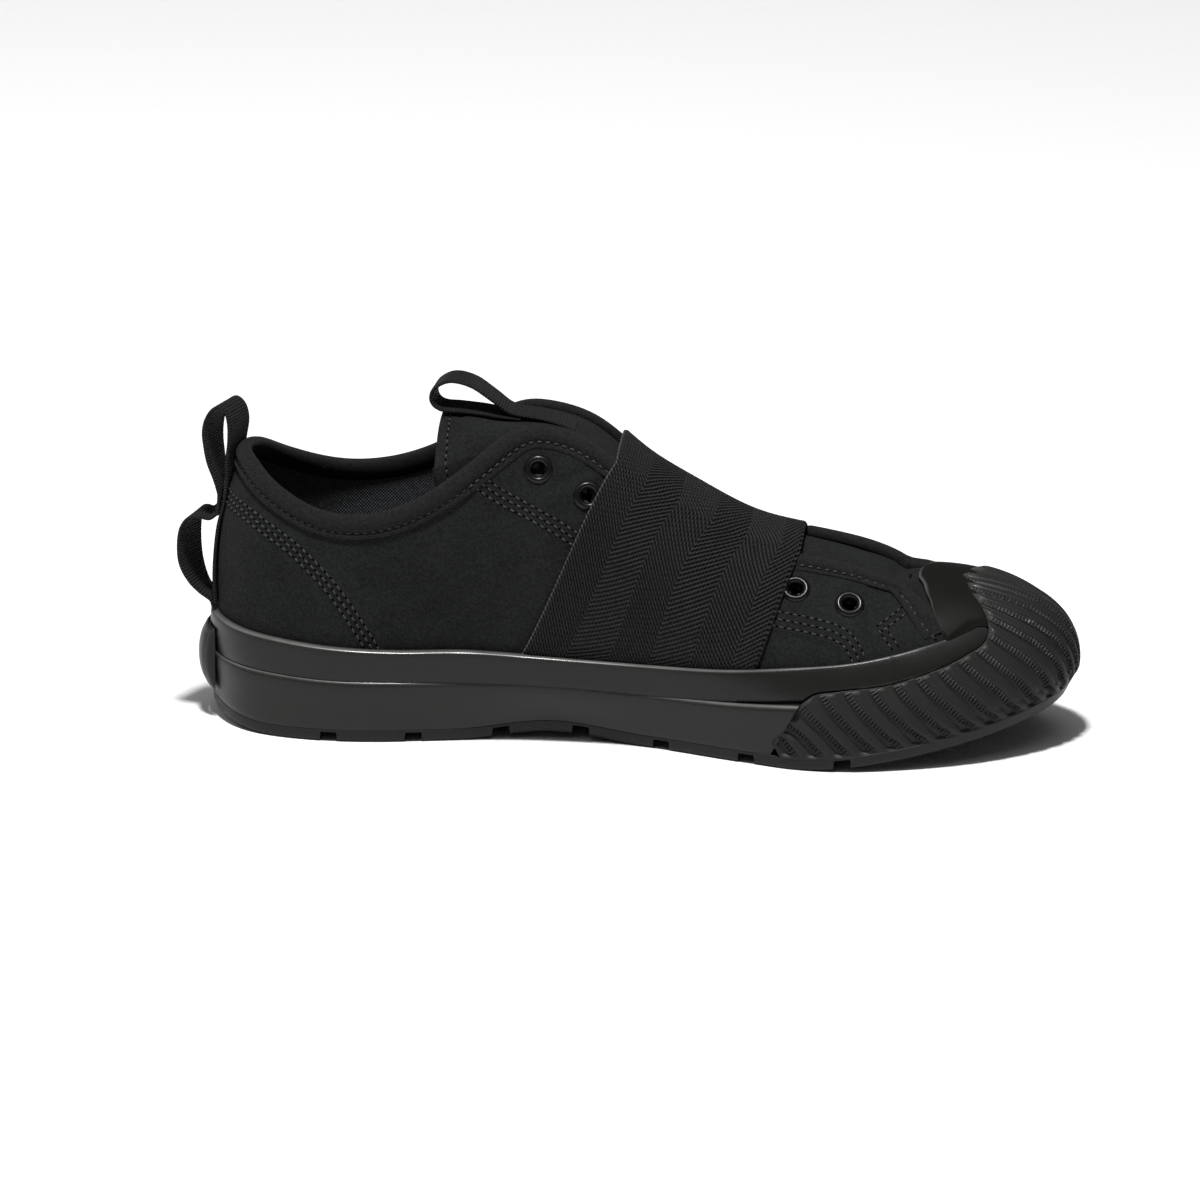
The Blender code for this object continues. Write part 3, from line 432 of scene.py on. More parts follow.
# Soft troughs and swells pressed into the canvas of the sides.
Fold = namedtuple("Fold", "x0 z0 x1 z1 depth width")
FOLDS_INNER = (
    Fold(-12.5, 91.0, -19.0, 82.0, 0.7, 2.0),
    Fold(-22.5, 81.5, -29.0, 78.5, 0.55, 2.2),
    Fold(-28.5, 87.8, -23.5, 91.3, 0.80, 1.7),
    Fold(-23.5, 91.3, -18.0, 93.2, 0.70, 1.7),
    Fold(-26.0, 85.2, -20.5, 89.6, -0.45, 1.9),
    Fold(-62.0, 78.0, -47.0, 58.0, 0.45, 7.0),
    Fold(-80.0, 66.0, -63.0, 44.0, -0.40, 8.0),
    Fold(-123.0, 58.0, -108.0, 40.0, 0.35, 7.0),
    Fold(-136.0, 62.0, -127.0, 45.0, -0.30, 6.0),
    Fold(56.0, 52.0, 66.0, 46.5, 0.30, 3.0),
    Fold(74.0, 54.0, 82.0, 47.0, 0.35, 3.0),
)
FOLDS_OUTER = (
    Fold(-14.0, 90.0, -23.0, 80.0, 0.50, 2.4),
    Fold(-58.0, 80.0, -44.0, 60.0, 0.45, 7.0),
    Fold(-78.0, 62.0, -66.0, 42.0, -0.40, 8.0),
    Fold(-122.0, 60.0, -110.0, 42.0, 0.40, 7.0),
    Fold(58.0, 52.0, 68.0, 45.5, 0.30, 3.0),
)

# Stage, in metres, degrees and watts. The camera's aim is in the tables' frame.
FLOOR_HALF = 6.0
WORLD_STRENGTH = 0.06
CAMERA_AROUND = 5.0
CAMERA_ABOVE = 18.0
CAMERA_AWAY = 8.0
CAMERA_AIM = (-16.0, 0.0, 41.3)
PICTURE_WIDTH = 0.4
SENSOR_WIDTH = 36.0
Lamp = namedtuple("Lamp", "name place aim size power")
LAMPS = (
    Lamp("overhead_key", (-0.06, -0.50, 2.15), (0.0, 0.0, 0.0), (0.25, 0.25), 60.0),
    Lamp("ceiling_softbox", (-0.30, -0.10, 1.70), (-0.15, 0.0, 0.0), (3.0, 2.6), 9.0),
    Lamp("left_softbox", (-1.30, 0.30, 0.75), (0.0, 0.0, 0.03), (0.8, 0.9), 1.5),
)


def metres(name, description, default):
    """Length that a user may change."""
    return bpy.props.FloatProperty(name=name, description=description, default=default, unit="LENGTH")


def colour(name, description, default):
    """Colour that a user may change."""
    return bpy.props.FloatVectorProperty(
        name=name, description=description, default=default, subtype="COLOR", size=3, min=0.0, max=1.0)


class SneakerSizes(bpy.types.PropertyGroup):
    """Sizes of the sewn, woven and moulded detail."""

    stitch_pitch: metres("Stitch pitch", "Distance from one stitch to the next", 0.0028)
    stitch_length: metres("Stitch length", "Length of thread that shows of one stitch", 0.0019)
    thread_width: metres("Thread width", "Thickness of the sewing thread", 0.00070)
    row_spacing: metres("Row spacing", "Distance between rows of a multiple seam", 0.0021)
    panel_step: metres("Panel step", "Height of a sewn-on panel over the canvas", 0.00045)
    canvas_pitch: metres("Canvas pitch", "Distance between threads of the canvas", 0.0008)
    herringbone_width: metres("Herringbone width", "Width of one column of the elastic's weave", 0.0130)
    herringbone_pitch: metres("Herringbone pitch", "Distance between slanting threads", 0.0017)
    tape_pitch: metres("Tape rib pitch", "Distance between cross ribs of the webbing", 0.0010)
    rib_depth: metres("Bumper rib depth", "Depth of the grooves of the toe bumper", 0.00115)
    rung_pitch: metres("Rung pitch", "Distance between the rungs in the bumper's grooves", 0.00125)


class SneakerColours(bpy.types.PropertyGroup):
    """Colours of the materials."""

    canvas: colour("Canvas", "Dyed canvas of upper and tongue", (0.0132, 0.0137, 0.0142))
    binding: colour("Binding", "Twill tape of the bound edges", (0.0140, 0.0142, 0.0149))
    lining: colour("Lining", "Woven lining", (0.0560, 0.0580, 0.0620))
    elastic: colour("Elastic", "Wide woven elastic", (0.0155, 0.0155, 0.0157))
    webbing: colour("Webbing", "Tape of the pull loops", (0.0115, 0.0115, 0.0118))
    thread: colour("Thread", "Sewing thread", (0.0230, 0.0230, 0.0230))
    rubber: colour("Rubber", "Bands and sole", (0.0102, 0.0103, 0.0096))
    bumper: colour("Bumper", "Moulded toe bumper", (0.0185, 0.0186, 0.0180))
    cap: colour("Toe cap", "Smooth toe cap", (0.0075, 0.0075, 0.0067))
    # Lighter colour laid along rounded rubber edges: a painted highlight.
    rubbed: colour("Rubbed edge", "Painted highlight along the rubber's edges", (0.110, 0.110, 0.106))
    metal: colour("Eyelet", "Enamelled eyelets", (0.0050, 0.0050, 0.0052))
    lint: colour("Lint", "Fine fluff caught in the cloth", (0.0900, 0.0900, 0.0880))
    floor: colour("Floor", "Studio floor", (0.93, 0.93, 0.93))


def smooth(value, low, high):
    """Soft step from 0 to 1."""
    t = np.clip((np.asarray(value, float) - low) / (high - low), 0.0, 1.0)
    return t * t * (3.0 - 2.0 * t)


def curve(keys, values):
    """Smooth reading of values by rising keys."""
    x, y = np.asarray(keys, float), np.asarray(values, float)
    slope = np.gradient(y, x)

    def read(at):
        at = np.clip(np.asarray(at, float), x[0], x[-1])
        i = np.clip(np.searchsorted(x, at, side="right") - 1, 0, len(x) - 2)
        h = x[i + 1] - x[i]
        t = (at - x[i]) / h
        ends = y[i] * (2 * t ** 3 - 3 * t * t + 1) + y[i + 1] * (3 * t * t - 2 * t ** 3)
        return ends + h * (slope[i] * (t ** 3 - 2 * t * t + t) + slope[i + 1] * (t ** 3 - t * t))

    return read


def column(rows, key):
    """One column of a table."""
    return np.array([getattr(row, key) for row in rows])


def along(rows, key, value):
    """Smooth reading of one column of a table by another."""
    return curve(column(rows, key), column(rows, value))


LEDGE = along(LINES, "x", "ledge")
FOXING_TOP = along(LINES, "x", "foxing")
BUMPER_SHARE = along(BUMPER_TOP, "way", "share")
RIB_LOW = along(RIBS, "count", "low")
RIB_TOP = along(RIBS, "count", "top")
CAP_SHARE = along(CAP_REAR, "way", "share")
BOUND_WAY = along(BOUND_FRONT[:3:-1], "share", "way")


def toe_spring(x):
    """Rise of the sole from the ball to the toe."""
    share = (np.asarray(x, float) - BALL_FLAT[1]) / (TOE.x - BALL_FLAT[1])
    return TOE_SPRING * np.clip(share, 0.0, 1.1) ** 1.6


def bottom(x):
    """Height of the tread above the floor."""
    x = np.asarray(x, float)
    half = np.where(x < ARCH_MIDDLE, ARCH_MIDDLE - HEEL_FLAT[1], BALL_FLAT[0] - ARCH_MIDDLE)
    arch = ARCH_LIFT * (1.0 - smooth(np.abs(x - ARCH_MIDDLE) / half, 0.0, 1.0))
    heel = HEEL_LIFT * np.clip((HEEL_FLAT[0] - x) / 24.0, 0.0, 1.1) ** 2
    return toe_spring(x) + arch + heel


def seat(x):
    """Height of the surface that the upper and the insole stand on."""
    return SEAT_HEIGHT + toe_spring(x)


class ClosedSpline:
    """Smooth closed curve through rows of values."""

    def __init__(self, knots, values, total):
        self.knots, self.values, self.total = np.asarray(knots), np.asarray(values, float), total
        n = len(self.knots)
        self.steps = np.diff(np.append(self.knots, total))
        system = np.zeros((n, n))
        right = np.zeros_like(self.values)
        for i in range(n):
            before, after = (i - 1) % n, (i + 1) % n
            system[i, before] += self.steps[before]
            system[i, i] += 2.0 * (self.steps[before] + self.steps[i])
            system[i, after] += self.steps[i]
            rise = (self.values[after] - self.values[i]) / self.steps[i]
            fall = (self.values[i] - self.values[before]) / self.steps[before]
            right[i] = 6.0 * (rise - fall)
        self.bend = np.linalg.solve(system, right)

    def at(self, u):
        u = np.mod(np.asarray(u, float), self.total)
        i = np.clip(np.searchsorted(self.knots, u, side="right") - 1, 0, len(self.knots) - 1)
        j = (i + 1) % len(self.knots)
        h = self.steps[i][..., None]
        b = (u - self.knots[i])[..., None] / h
        a = 1.0 - b
        bend = ((a ** 3 - a) * self.bend[i] + (b ** 3 - b) * self.bend[j]) * h * h / 6.0
        return a * self.values[i] + b * self.values[j] + bend


def station_rows():
    """Sections in order round the sole: heel, inner side, toe, outer side."""

    def row(s, y, flare, top_y):
        return s.x, y, flare, s.rise, s.top_x, top_y, s.top_z, s.out, s.drop

    inner = [row(s, -s.inner, s.flare_in, -s.top_y) for s in (HEEL, *SIDES, TOE)]
    outer = [row(s, s.outer, s.flare_out, s.top_y) for s in reversed(SIDES)]
    return np.array(inner + outer, float)


ROWS = station_rows()
STEPS = np.linalg.norm(np.diff(np.vstack([ROWS[:, :2], ROWS[:1, :2]]), axis=0), axis=1)
KNOTS = np.concatenate([[0.0], np.cumsum(STEPS)[:-1]])
ROUND = float(STEPS.sum())
TOE_U = float(KNOTS[len(SIDES) + 1])
SHAPE = ClosedSpline(KNOTS, ROWS, ROUND)


def outward(u):
    """Outward direction of the sole outline, in plan."""
    run = SHAPE.at(np.asarray(u) + 0.5)[..., :2] - SHAPE.at(np.asarray(u) - 0.5)[..., :2]
    run /= np.linalg.norm(run, axis=-1, keepdims=True)
    return np.stack([run[..., 1], -run[..., 0]], -1)


def u_at(x, inner):
    """Place round the sole where the outline has this X, on the inner or the outer side."""
    span = np.linspace(0.0, TOE_U, 2400) if inner else np.linspace(ROUND, TOE_U, 2400)
    return np.interp(x, SHAPE.at(span)[:, 0], span)


def bare(u, v):
    """Outer face of the upper, from the seat (v = 0) to the collar and throat edge (v = 1)."""
    u, v = np.broadcast_arrays(np.asarray(u, float), np.asarray(v, float))
    row = SHAPE.at(u)
    n = outward(u)
    foot = row[..., :2] - SIDE_BAND * n
    floor = seat(foot[..., 0])
    low = np.concatenate([foot, floor[..., None]], -1)
    first = np.concatenate([foot + n * row[..., 2:3], (floor + row[..., 3])[..., None]], -1)
    top = row[..., 4:7]
    second = np.concatenate([top[..., :2] + n * row[..., 7:8], (top[..., 2] - row[..., 8])[..., None]], -1)
    v = v[..., None]
    w = 1.0 - v
    return low * w ** 3 + first * (3 * w * w * v) + second * (3 * w * v * v) + top * v ** 3


def normal(u, v):
    """Direction out of the upper's outer face."""
    u, v = np.broadcast_arrays(np.asarray(u, float), np.asarray(v, float))
    across = bare(u + 0.4, v) - bare(u - 0.4, v)
    rising = bare(u, v + 0.01) - bare(u, v - 0.01)
    n = np.cross(across, rising)
    return n / np.linalg.norm(n, axis=-1, keepdims=True)


def skin(u, v, off=0.0):
    """The upper's outer face moved out by off; v below 0 runs straight down to the tread layer."""
    u, v, off = np.broadcast_arrays(np.asarray(u, float), np.asarray(v, float), np.asarray(off, float))
    held = np.clip(v, 0.0, 1.0)
    face = bare(u, held)
    points = face + normal(u, held) * off[..., None]
    n = outward(u)
    foot = bare(u, 0.0)[..., :2]
    flat = foot + n * off[..., None]
    high = seat(foot[..., 0])
    low = bottom(flat[..., 0]) + OUTSOLE_THICKNESS + GAP
    z = high + v * (high - low)
    below = np.concatenate([flat, z[..., None]], -1)
    mix = smooth(v, 0.0, 0.12)[..., None]
    level = np.concatenate([face[..., :2] + n * off[..., None], face[..., 2:]], -1)
    return np.where(v[..., None] < 0.0, below, level * (1.0 - mix) + points * mix)


def share_at(u, z):
    """Share of the section at which the upper's outer face first reaches this height."""
    u, z = np.broadcast_arrays(np.asarray(u, float), np.asarray(z, float))
    v = np.linspace(0.0, 1.0, 101)
    heights = bare(u.ravel()[:, None], v[None, :])[..., 2]
    flat = z.ravel()
    i = np.argmax(heights >= flat[:, None], axis=1)
    i = np.where(heights.max(1) < flat, 100, np.maximum(i, 1))
    rows = np.arange(len(flat))
    low, high = heights[rows, i - 1], heights[rows, i]
    t = np.clip((flat - low) / np.maximum(high - low, 1e-6), 0.0, 1.0)
    return (v[i - 1] + t * 0.01).reshape(u.shape)


def spot(x, z, inner):
    """Place and share of the section where a side of the upper has this X and height."""
    guess = np.asarray(x, float)
    z = np.asarray(z, float)
    for _ in range(12):
        u = u_at(guess, inner)
        v = share_at(u, z)
        guess = guess + x - bare(u, v)[..., 0]
    return u, v


def round_from_toe(u):
    """Distance round the sole from the toe's middle."""
    return np.abs(np.mod(u - TOE_U + ROUND / 2.0, ROUND) - ROUND / 2.0)


def is_inner(u):
    return np.mod(u, ROUND) < TOE_U


def bumper_share(u):
    """Share of the section at the bumper's top edge."""
    reach = [round_from_toe(u_at(BUMPER_END_TOP, side)) for side in (False, True)]
    return BUMPER_SHARE(round_from_toe(u) / np.where(is_inner(u), reach[1], reach[0]))


def undercut(u):
    """How far the sole's side is hollowed along the arch."""
    point = SHAPE.at(u)
    depth = UNDERCUT_OUTER + (UNDERCUT_INNER - UNDERCUT_OUTER) * smooth(-point[..., 1], -8.0, 8.0)
    return depth * np.exp(-((point[..., 0] - ARCH_MIDDLE) / 38.0) ** 2)


def level_ring(u, off, height):
    """Closed outline at an offset from the foot of the upper, at a height given by X."""
    plan = bare(u, 0.0)[:, :2] + outward(u) * np.asarray(off, float).reshape(-1, 1)
    return np.column_stack([plan, height(plan[:, 0])])


def unit(vectors):
    return vectors / np.maximum(np.linalg.norm(vectors, axis=-1, keepdims=True), 1e-9)


def run_length(points):
    """Distance along a line of points, from its first."""
    return np.concatenate([[0.0], np.cumsum(np.linalg.norm(np.diff(points, axis=0), axis=1))])


def even(points, pitch):
    """Points at an even pitch along a line of points of any width."""
    run = run_length(points)
    count = max(2, int(round(run[-1] / pitch)) + 1)
    at = np.linspace(0.0, run[-1], count)
    return np.stack([np.interp(at, run, points[:, k]) for k in range(points.shape[1])], -1)


def open_spline(points, count):
    """Even points on a smooth line through the given points."""
    points = np.asarray(points, float)
    knots = run_length(points[:, :2])
    ghost = np.vstack([2 * points[0] - points[1], points, 2 * points[-1] - points[-2]])
    out = []
    for s in np.linspace(0.0, knots[-1], count):
        i = min(int(np.searchsorted(knots, s, side="right")) - 1, len(points) - 2)
        t = (s - knots[i]) / (knots[i + 1] - knots[i])
        p = ghost[i:i + 4]
        bend = 2 * p[1] + (p[2] - p[0]) * t + (2 * p[0] - 5 * p[1] + 4 * p[2] - p[3]) * t * t
        out.append(0.5 * (bend + (3 * p[1] - p[0] - 3 * p[2] + p[3]) * t ** 3))
    return np.array(out)


def seat_shift():
    """Step from the tables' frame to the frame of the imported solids."""
    x = np.array([-143.5, 144.5])
    u = np.concatenate([[0.0], np.linspace(0.0, ROUND, 400), u_at(x, True), [TOE_U]])
    ring = level_ring(u, np.full(len(u), -INSOLE_INSET), seat)
    low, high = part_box("insole")
    middle = (np.array(low) + np.array(high)) / 2.0 / MM
    own = (ring.min(0) + ring.max(0)) / 2.0
    return np.array([middle[0] - own[0], middle[1] - own[1], 0.0])


SHIFT = seat_shift()


def corners(grid, axis=-1):
    """The four corners of each cell of a grid."""
    return np.stack([grid[:-1, :-1], grid[1:, :-1], grid[1:, 1:], grid[:-1, 1:]], axis)


class Build:
    """Points, faces and texture places of one piece."""

    def __init__(self):
        self.points, self.faces, self.places, self.kinds = [], [], [], []
        self.count = 0

    def add_points(self, points):
        first = self.count
        self.points.append(points.reshape(-1, 3))
        self.count += points.size // 3
        return first + np.arange(points.size // 3).reshape(points.shape[:-1])

    def add_quads(self, quads, places, kind=0):
        self.faces.append(quads.reshape(-1, 4))
        self.places.append(places.reshape(-1, 4, 2))
        self.kinds.append(np.full(quads.size // 4, kind))

    def add_grid(self, points, places, closed=False, kind=0, keep=None):
        """Surface through a grid of points; places has one more row than points if it is closed."""
        index = self.add_points(points)
        ring = np.concatenate([index, index[:1]]) if closed else index
        quads, spots = corners(ring), corners(places, -2)
        if keep is not None:
            quads, spots = quads[keep], spots[keep]
        self.add_quads(quads, spots, kind)
        return ring

    def join(self, first, second, kind=0):
        """Strip between two lines of points."""
        quads = np.stack([first[:-1], first[1:], second[1:], second[:-1]], -1)
        self.add_quads(quads, np.zeros(quads.shape + (2,)), kind)

    def close_rims(self, front, back, kind=0):
        """Strips between the four edges of two grids."""
        for line in (np.s_[:, 0], np.s_[:, -1], np.s_[0], np.s_[-1]):
            self.join(front[line], back[line], kind)

    def close_ring(self, ring):
        """Flat end across a closed outline with an even number of points."""
        half = len(ring) // 2
        k = np.arange(half - 1)
        quads = np.stack([ring[k], ring[k + 1], ring[len(ring) - 2 - k], ring[len(ring) - 1 - k]], -1)
        self.add_quads(quads, np.zeros(quads.shape + (2,)))

    def make(self, name, materials, slot, replaces=(), sharp=50.0):
        """Piece on the root body, smooth but for edges sharper than this angle."""
        points = (np.concatenate(self.points) + SHIFT) * MM
        faces = np.concatenate(self.faces)
        mesh = bpy.data.meshes.new(name)
        mesh.from_pydata(points.tolist(), [], faces.tolist())
        layer = mesh.uv_layers.new(name="places")
        layer.data.foreach_set("uv", np.concatenate(self.places).astype(np.float32).ravel())
        mesh.polygons.foreach_set("material_index", np.concatenate(self.kinds).astype(np.int32))
        work = bmesh.new()
        work.from_mesh(mesh)
        bmesh.ops.remove_doubles(work, verts=work.verts, dist=1e-7)
        loose = [v for v in work.verts if not v.link_faces]
        bmesh.ops.delete(work, geom=loose, context="VERTS")
        bmesh.ops.recalc_face_normals(work, faces=work.faces)
        work.to_mesh(mesh)
        work.free()
        for material in materials:
            mesh.materials.append(material)
        mesh.shade_smooth()
        mesh.set_sharp_from_angle(angle=math.radians(sharp))
        piece = bpy.data.objects.new(name, mesh)
        bpy.context.scene.collection.objects.link(piece)
        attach(piece, "root")
        if replaces:
            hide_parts(*replaces)
        return piece


def places_of(points, closed=False):
    """Texture places in millimetres along both directions of a grid."""
    ring = np.concatenate([points, points[:1]]) if closed else points
    across = np.linalg.norm(np.diff(ring, axis=0), axis=-1).mean(1)
    down = np.linalg.norm(np.diff(ring, axis=1), axis=-1)
    first = np.concatenate([[0.0], np.cumsum(across)])
    second = np.concatenate([np.zeros((len(ring), 1)), np.cumsum(down, axis=1)], 1)
    return np.stack([np.broadcast_to(first[:, None], second.shape), second], -1)


def add_shell(build, outer, inner, kinds=(0, 0)):
    """Wall between two grids of points of the same size."""
    front = build.add_grid(outer, places_of(outer), kind=kinds[0])
    back = build.add_grid(inner, places_of(inner), kind=kinds[1])
    build.close_rims(front, back, kinds[0])


def add_sweep(build, rings, glint=None):
    """Solid through closed outlines set one after another, with flat ends."""
    places = places_of(np.concatenate([rings, rings[:, :1]], 1))
    # When rub is given, the second texture place carries the share of a painted highlight.
    if glint is not None:
        places[..., 1] = np.concatenate([glint, glint[..., :1]], -1)
    index = build.add_points(rings)
    ring = np.concatenate([index, index[:, :1]], 1)
    build.add_quads(corners(ring), corners(places, -2))
    build.close_ring(index[0])
    build.close_ring(index[-1])


class Nodes:
    """Places and joins nodes of one tree."""

    def __init__(self, tree):
        self.tree = tree

    def feed(self, socket, value):
        if isinstance(value, bpy.types.NodeSocket):
            self.tree.links.new(value, socket)
        elif isinstance(value, (tuple, list)) and len(value) == 3 and socket.type == "RGBA":
            socket.default_value = (*value, 1.0)
        else:
            socket.default_value = value

    def add(self, kind, inputs=(), **settings):
        node = self.tree.nodes.new(kind)
        for key, value in settings.items():
            setattr(node, key, value)
        for key, value in dict(inputs).items():
            self.feed(node.inputs[key], value)
        return node

    def math(self, operation, *values, clamp=False):
        node = self.add("ShaderNodeMath", operation=operation, use_clamp=clamp)
        for socket, value in zip(node.inputs, values):
            self.feed(socket, value)
        return node.outputs[0]

    def wave(self, value, pitch):
        """Sine of a length with this pitch, from -1 to 1."""
        return self.math("SINE", self.math("MULTIPLY", value, self.math("DIVIDE", 2.0 * math.pi, pitch)))

    def ramp(self, value, low, high):
        """Soft step from 0 to 1."""
        node = self.add("ShaderNodeMapRange", {"Value": value, "From Min": low, "From Max": high},
                        interpolation_type="SMOOTHSTEP")
        return node.outputs["Result"]

    def noise(self, scale, detail=2.0, roughness=0.5):
        place = self.add("ShaderNodeTexCoord").outputs["Object"]
        inputs = {"Vector": place, "Scale": scale, "Detail": detail, "Roughness": roughness}
        return self.add("ShaderNodeTexNoise", inputs).outputs["Fac"]

    def places(self):
        """Millimetres along the two directions of the piece's grid."""
        place = self.add("ShaderNodeUVMap", uv_map="places").outputs["UV"]
        split = self.add("ShaderNodeSeparateXYZ", {"Vector": place})
        return split.outputs["X"], split.outputs["Y"]

    def group(self, make, **inputs):
        """Outputs of a node group that is built the first time it is placed."""
        group = bpy.data.node_groups.get(make.__name__) or make()
        node = self.add("ShaderNodeGroup", node_tree=group)
        for key, value in inputs.items():
            self.feed(node.inputs[key], value)
        return node.outputs

    def tint(self, base, factor):
        """Colour made darker or lighter by a factor."""
        node = self.add("ShaderNodeMix", data_type="RGBA", blend_type="MULTIPLY")
        self.feed(node.inputs["Factor"], 1.0)
        self.feed(node.inputs[6], base)
        grey = self.add("ShaderNodeCombineColor", {"Red": factor, "Green": factor, "Blue": factor})
        self.feed(node.inputs[7], grey.outputs["Color"])
        return node.outputs[2]

    def blend(self, factor, first, second):
        node = self.add("ShaderNodeMix", data_type="RGBA")
        for key, value in ((0, factor), (6, first), (7, second)):
            self.feed(node.inputs[key], value)
        return node.outputs[2]


def new_group(name, inputs, outputs):
    """Empty node group with named values going in and out."""
    group = bpy.data.node_groups.new(name, "ShaderNodeTree")
    for label, default in inputs:
        socket = group.interface.new_socket(label, in_out="INPUT", socket_type="NodeSocketFloat")
        socket.default_value = default
    for label in outputs:
        group.interface.new_socket(label, in_out="OUTPUT", socket_type="NodeSocketFloat")
    nodes = Nodes(group)
    return group, nodes, nodes.add("NodeGroupInput").outputs, nodes.add("NodeGroupOutput").inputs


def cloth_nap():
    """Fibre fuzz and faint mottling of dyed cloth."""
    group, n, given, out = new_group("cloth_nap", [("Fibre", 900.0), ("Mottle", 0.35)], ["Shade", "Height"])
    fibre = n.noise(given["Fibre"], 3.0, 0.65)
    cloud = n.noise(48.0, 6.0, 0.7)
    fine = n.math("MULTIPLY", n.math("SUBTRACT", fibre, 0.5), 1.9)
    broad = n.math("MULTIPLY", n.math("SUBTRACT", cloud, 0.5), given["Mottle"])
    n.feed(out["Shade"], n.math("ADD", 1.0, n.math("ADD", fine, broad)))
    n.feed(out["Height"], fibre)
    return group


def plain_weave():
    """Threads going over and under each other."""
    group, n, given, out = new_group("plain_weave", [("Pitch", 0.8)], ["Height"])
    u, v = n.places()
    n.feed(out["Height"], n.math("MULTIPLY", n.wave(u, given["Pitch"]), n.wave(v, given["Pitch"])))
    return group


def lint_specks():
    """Sparse specks of fluff."""
    group, n, given, out = new_group("lint_specks", [("Amount", 0.05)], ["Mask"])
    place = n.add("ShaderNodeTexCoord").outputs["Object"]
    cells = n.add("ShaderNodeTexVoronoi", {"Vector": place, "Scale": 210.0})
    chance = n.add("ShaderNodeSeparateColor", {"Color": cells.outputs["Color"]})
    chosen = n.math("LESS_THAN", chance.outputs["Red"], given["Amount"])
    size = n.math("MULTIPLY_ADD", chance.outputs["Green"], 0.07, 0.04)
    near = n.ramp(n.math("SUBTRACT", size, cells.outputs["Distance"]), 0.0, 0.03)
    n.feed(out["Mask"], n.math("MULTIPLY", chosen, near))
    return group


def rubber_skin():
    """Fine grain, flow marks and handling marks of moulded rubber."""
    inputs = [("Roughness", 0.5), ("Grain", 1800.0), ("Marks", 0.1)]
    group, n, given, out = new_group("rubber_skin", inputs, ["Shade", "Roughness", "Height"])
    grain = n.noise(given["Grain"], 2.0, 0.6)
    cloud = n.noise(36.0, 4.0, 0.6)
    streak = n.noise(170.0, 2.0, 0.5)
    n.feed(out["Shade"], n.math("MULTIPLY_ADD", n.math("SUBTRACT", cloud, 0.5), 0.5, 1.0))
    rough = n.math("MULTIPLY", n.math("SUBTRACT", n.math("ADD", cloud, streak), 1.0), given["Marks"])
    n.feed(out["Roughness"], n.math("ADD", given["Roughness"], rough, clamp=True))
    n.feed(out["Height"], grain)
    return group


def rubbed_edge():
    """Share of a place that gets a painted highlight along a rounded edge, broken up by noise."""
    group, n, given, out = new_group("rubbed_edge", [("Amount", 0.5)], ["Mask"])
    highlight_breakup = n.math("MULTIPLY_ADD", n.noise(120.0, 3.0, 0.6), 1.1, 0.35, clamp=True)
    edge = n.math("MULTIPLY", n.places()[1], given["Amount"])
    n.feed(out["Mask"], n.math("MULTIPLY", edge, highlight_breakup, clamp=True))
    return group


def new_material(name, base, roughness, specular=0.5, sheen=0.0, coat=0.0):
    """Material with its shader, the plain values set on the shader's own sockets."""
    material = bpy.data.materials.new(name)
    material.use_nodes = True
    material.diffuse_color = (*base, 1.0)
    shader = material.node_tree.nodes["Principled BSDF"]
    shader.inputs["Base Color"].default_value = (*base, 1.0)
    shader.inputs["Roughness"].default_value = roughness
    shader.inputs["Specular IOR Level"].default_value = specular
    shader.inputs["Sheen Weight"].default_value = sheen
    shader.inputs["Sheen Roughness"].default_value = 0.45
    shader.inputs["Coat Weight"].default_value = coat
    shader.inputs["Coat Roughness"].default_value = 0.18
    return material, Nodes(material.node_tree), shader


def bump(n, shader, height, distance, strength=1.0):
    node = n.add("ShaderNodeBump", {"Height": height, "Distance": distance, "Strength": strength})
    n.feed(shader.inputs["Normal"], node.outputs["Normal"])


def colours():
    return bpy.context.scene.sneaker_colours


def sizes():
    return bpy.context.scene.sneaker_sizes


def canvas_material(name, base, pitch, lint=0.08, mottle=1.1, sheen=0.02):
    """Dyed plain weave with fuzz and lint, made once for each name."""
    made = bpy.data.materials.get(name)
    if made:
        return made
    material, n, shader = new_material(name, base, 0.93, 0.08, sheen)
    nap = n.group(cloth_nap, Mottle=mottle)
    weave = n.group(plain_weave, Pitch=pitch / MM)["Height"]
    specks = n.group(lint_specks, Amount=lint)["Mask"]
    shade = n.math("MULTIPLY_ADD", weave, 0.16, nap["Shade"])
    cloth = n.tint(base, shade)
    n.feed(shader.inputs["Base Color"], n.blend(specks, cloth, tuple(colours().lint)))
    n.feed(shader.inputs["Roughness"], n.math("MULTIPLY_ADD", nap["Height"], 0.12, 0.85))
    bump(n, shader, n.math("MULTIPLY_ADD", weave, 0.45, nap["Height"]), 0.00022)
    return material


def rubber_material(name, base, roughness, specular=0.5, marks=0.1, relief=None, depth=0.00006, edge=0.0):
    """Moulded rubber, with painted highlights along its edges and a relief where they are given."""
    material, n, shader = new_material(name, base, roughness, specular)
    face = n.group(rubber_skin, Roughness=roughness, Marks=marks)
    skin_colour = n.tint(base, face["Shade"])
    # The lighter colour along the edge mask is a painted highlight; the coat on the same mask adds gloss.
    if edge:
        mask = n.group(rubbed_edge, Amount=edge)["Mask"]
        skin_colour = n.blend(mask, skin_colour, tuple(colours().rubbed))
        n.feed(shader.inputs["Coat Weight"], n.math("MULTIPLY", mask, 0.6))
    n.feed(shader.inputs["Base Color"], skin_colour)
    n.feed(shader.inputs["Roughness"], face["Roughness"])
    height = face["Height"]
    if relief:
        height = n.math("MULTIPLY_ADD", relief(n), 6.0, height)
    bump(n, shader, height, depth)
    return material


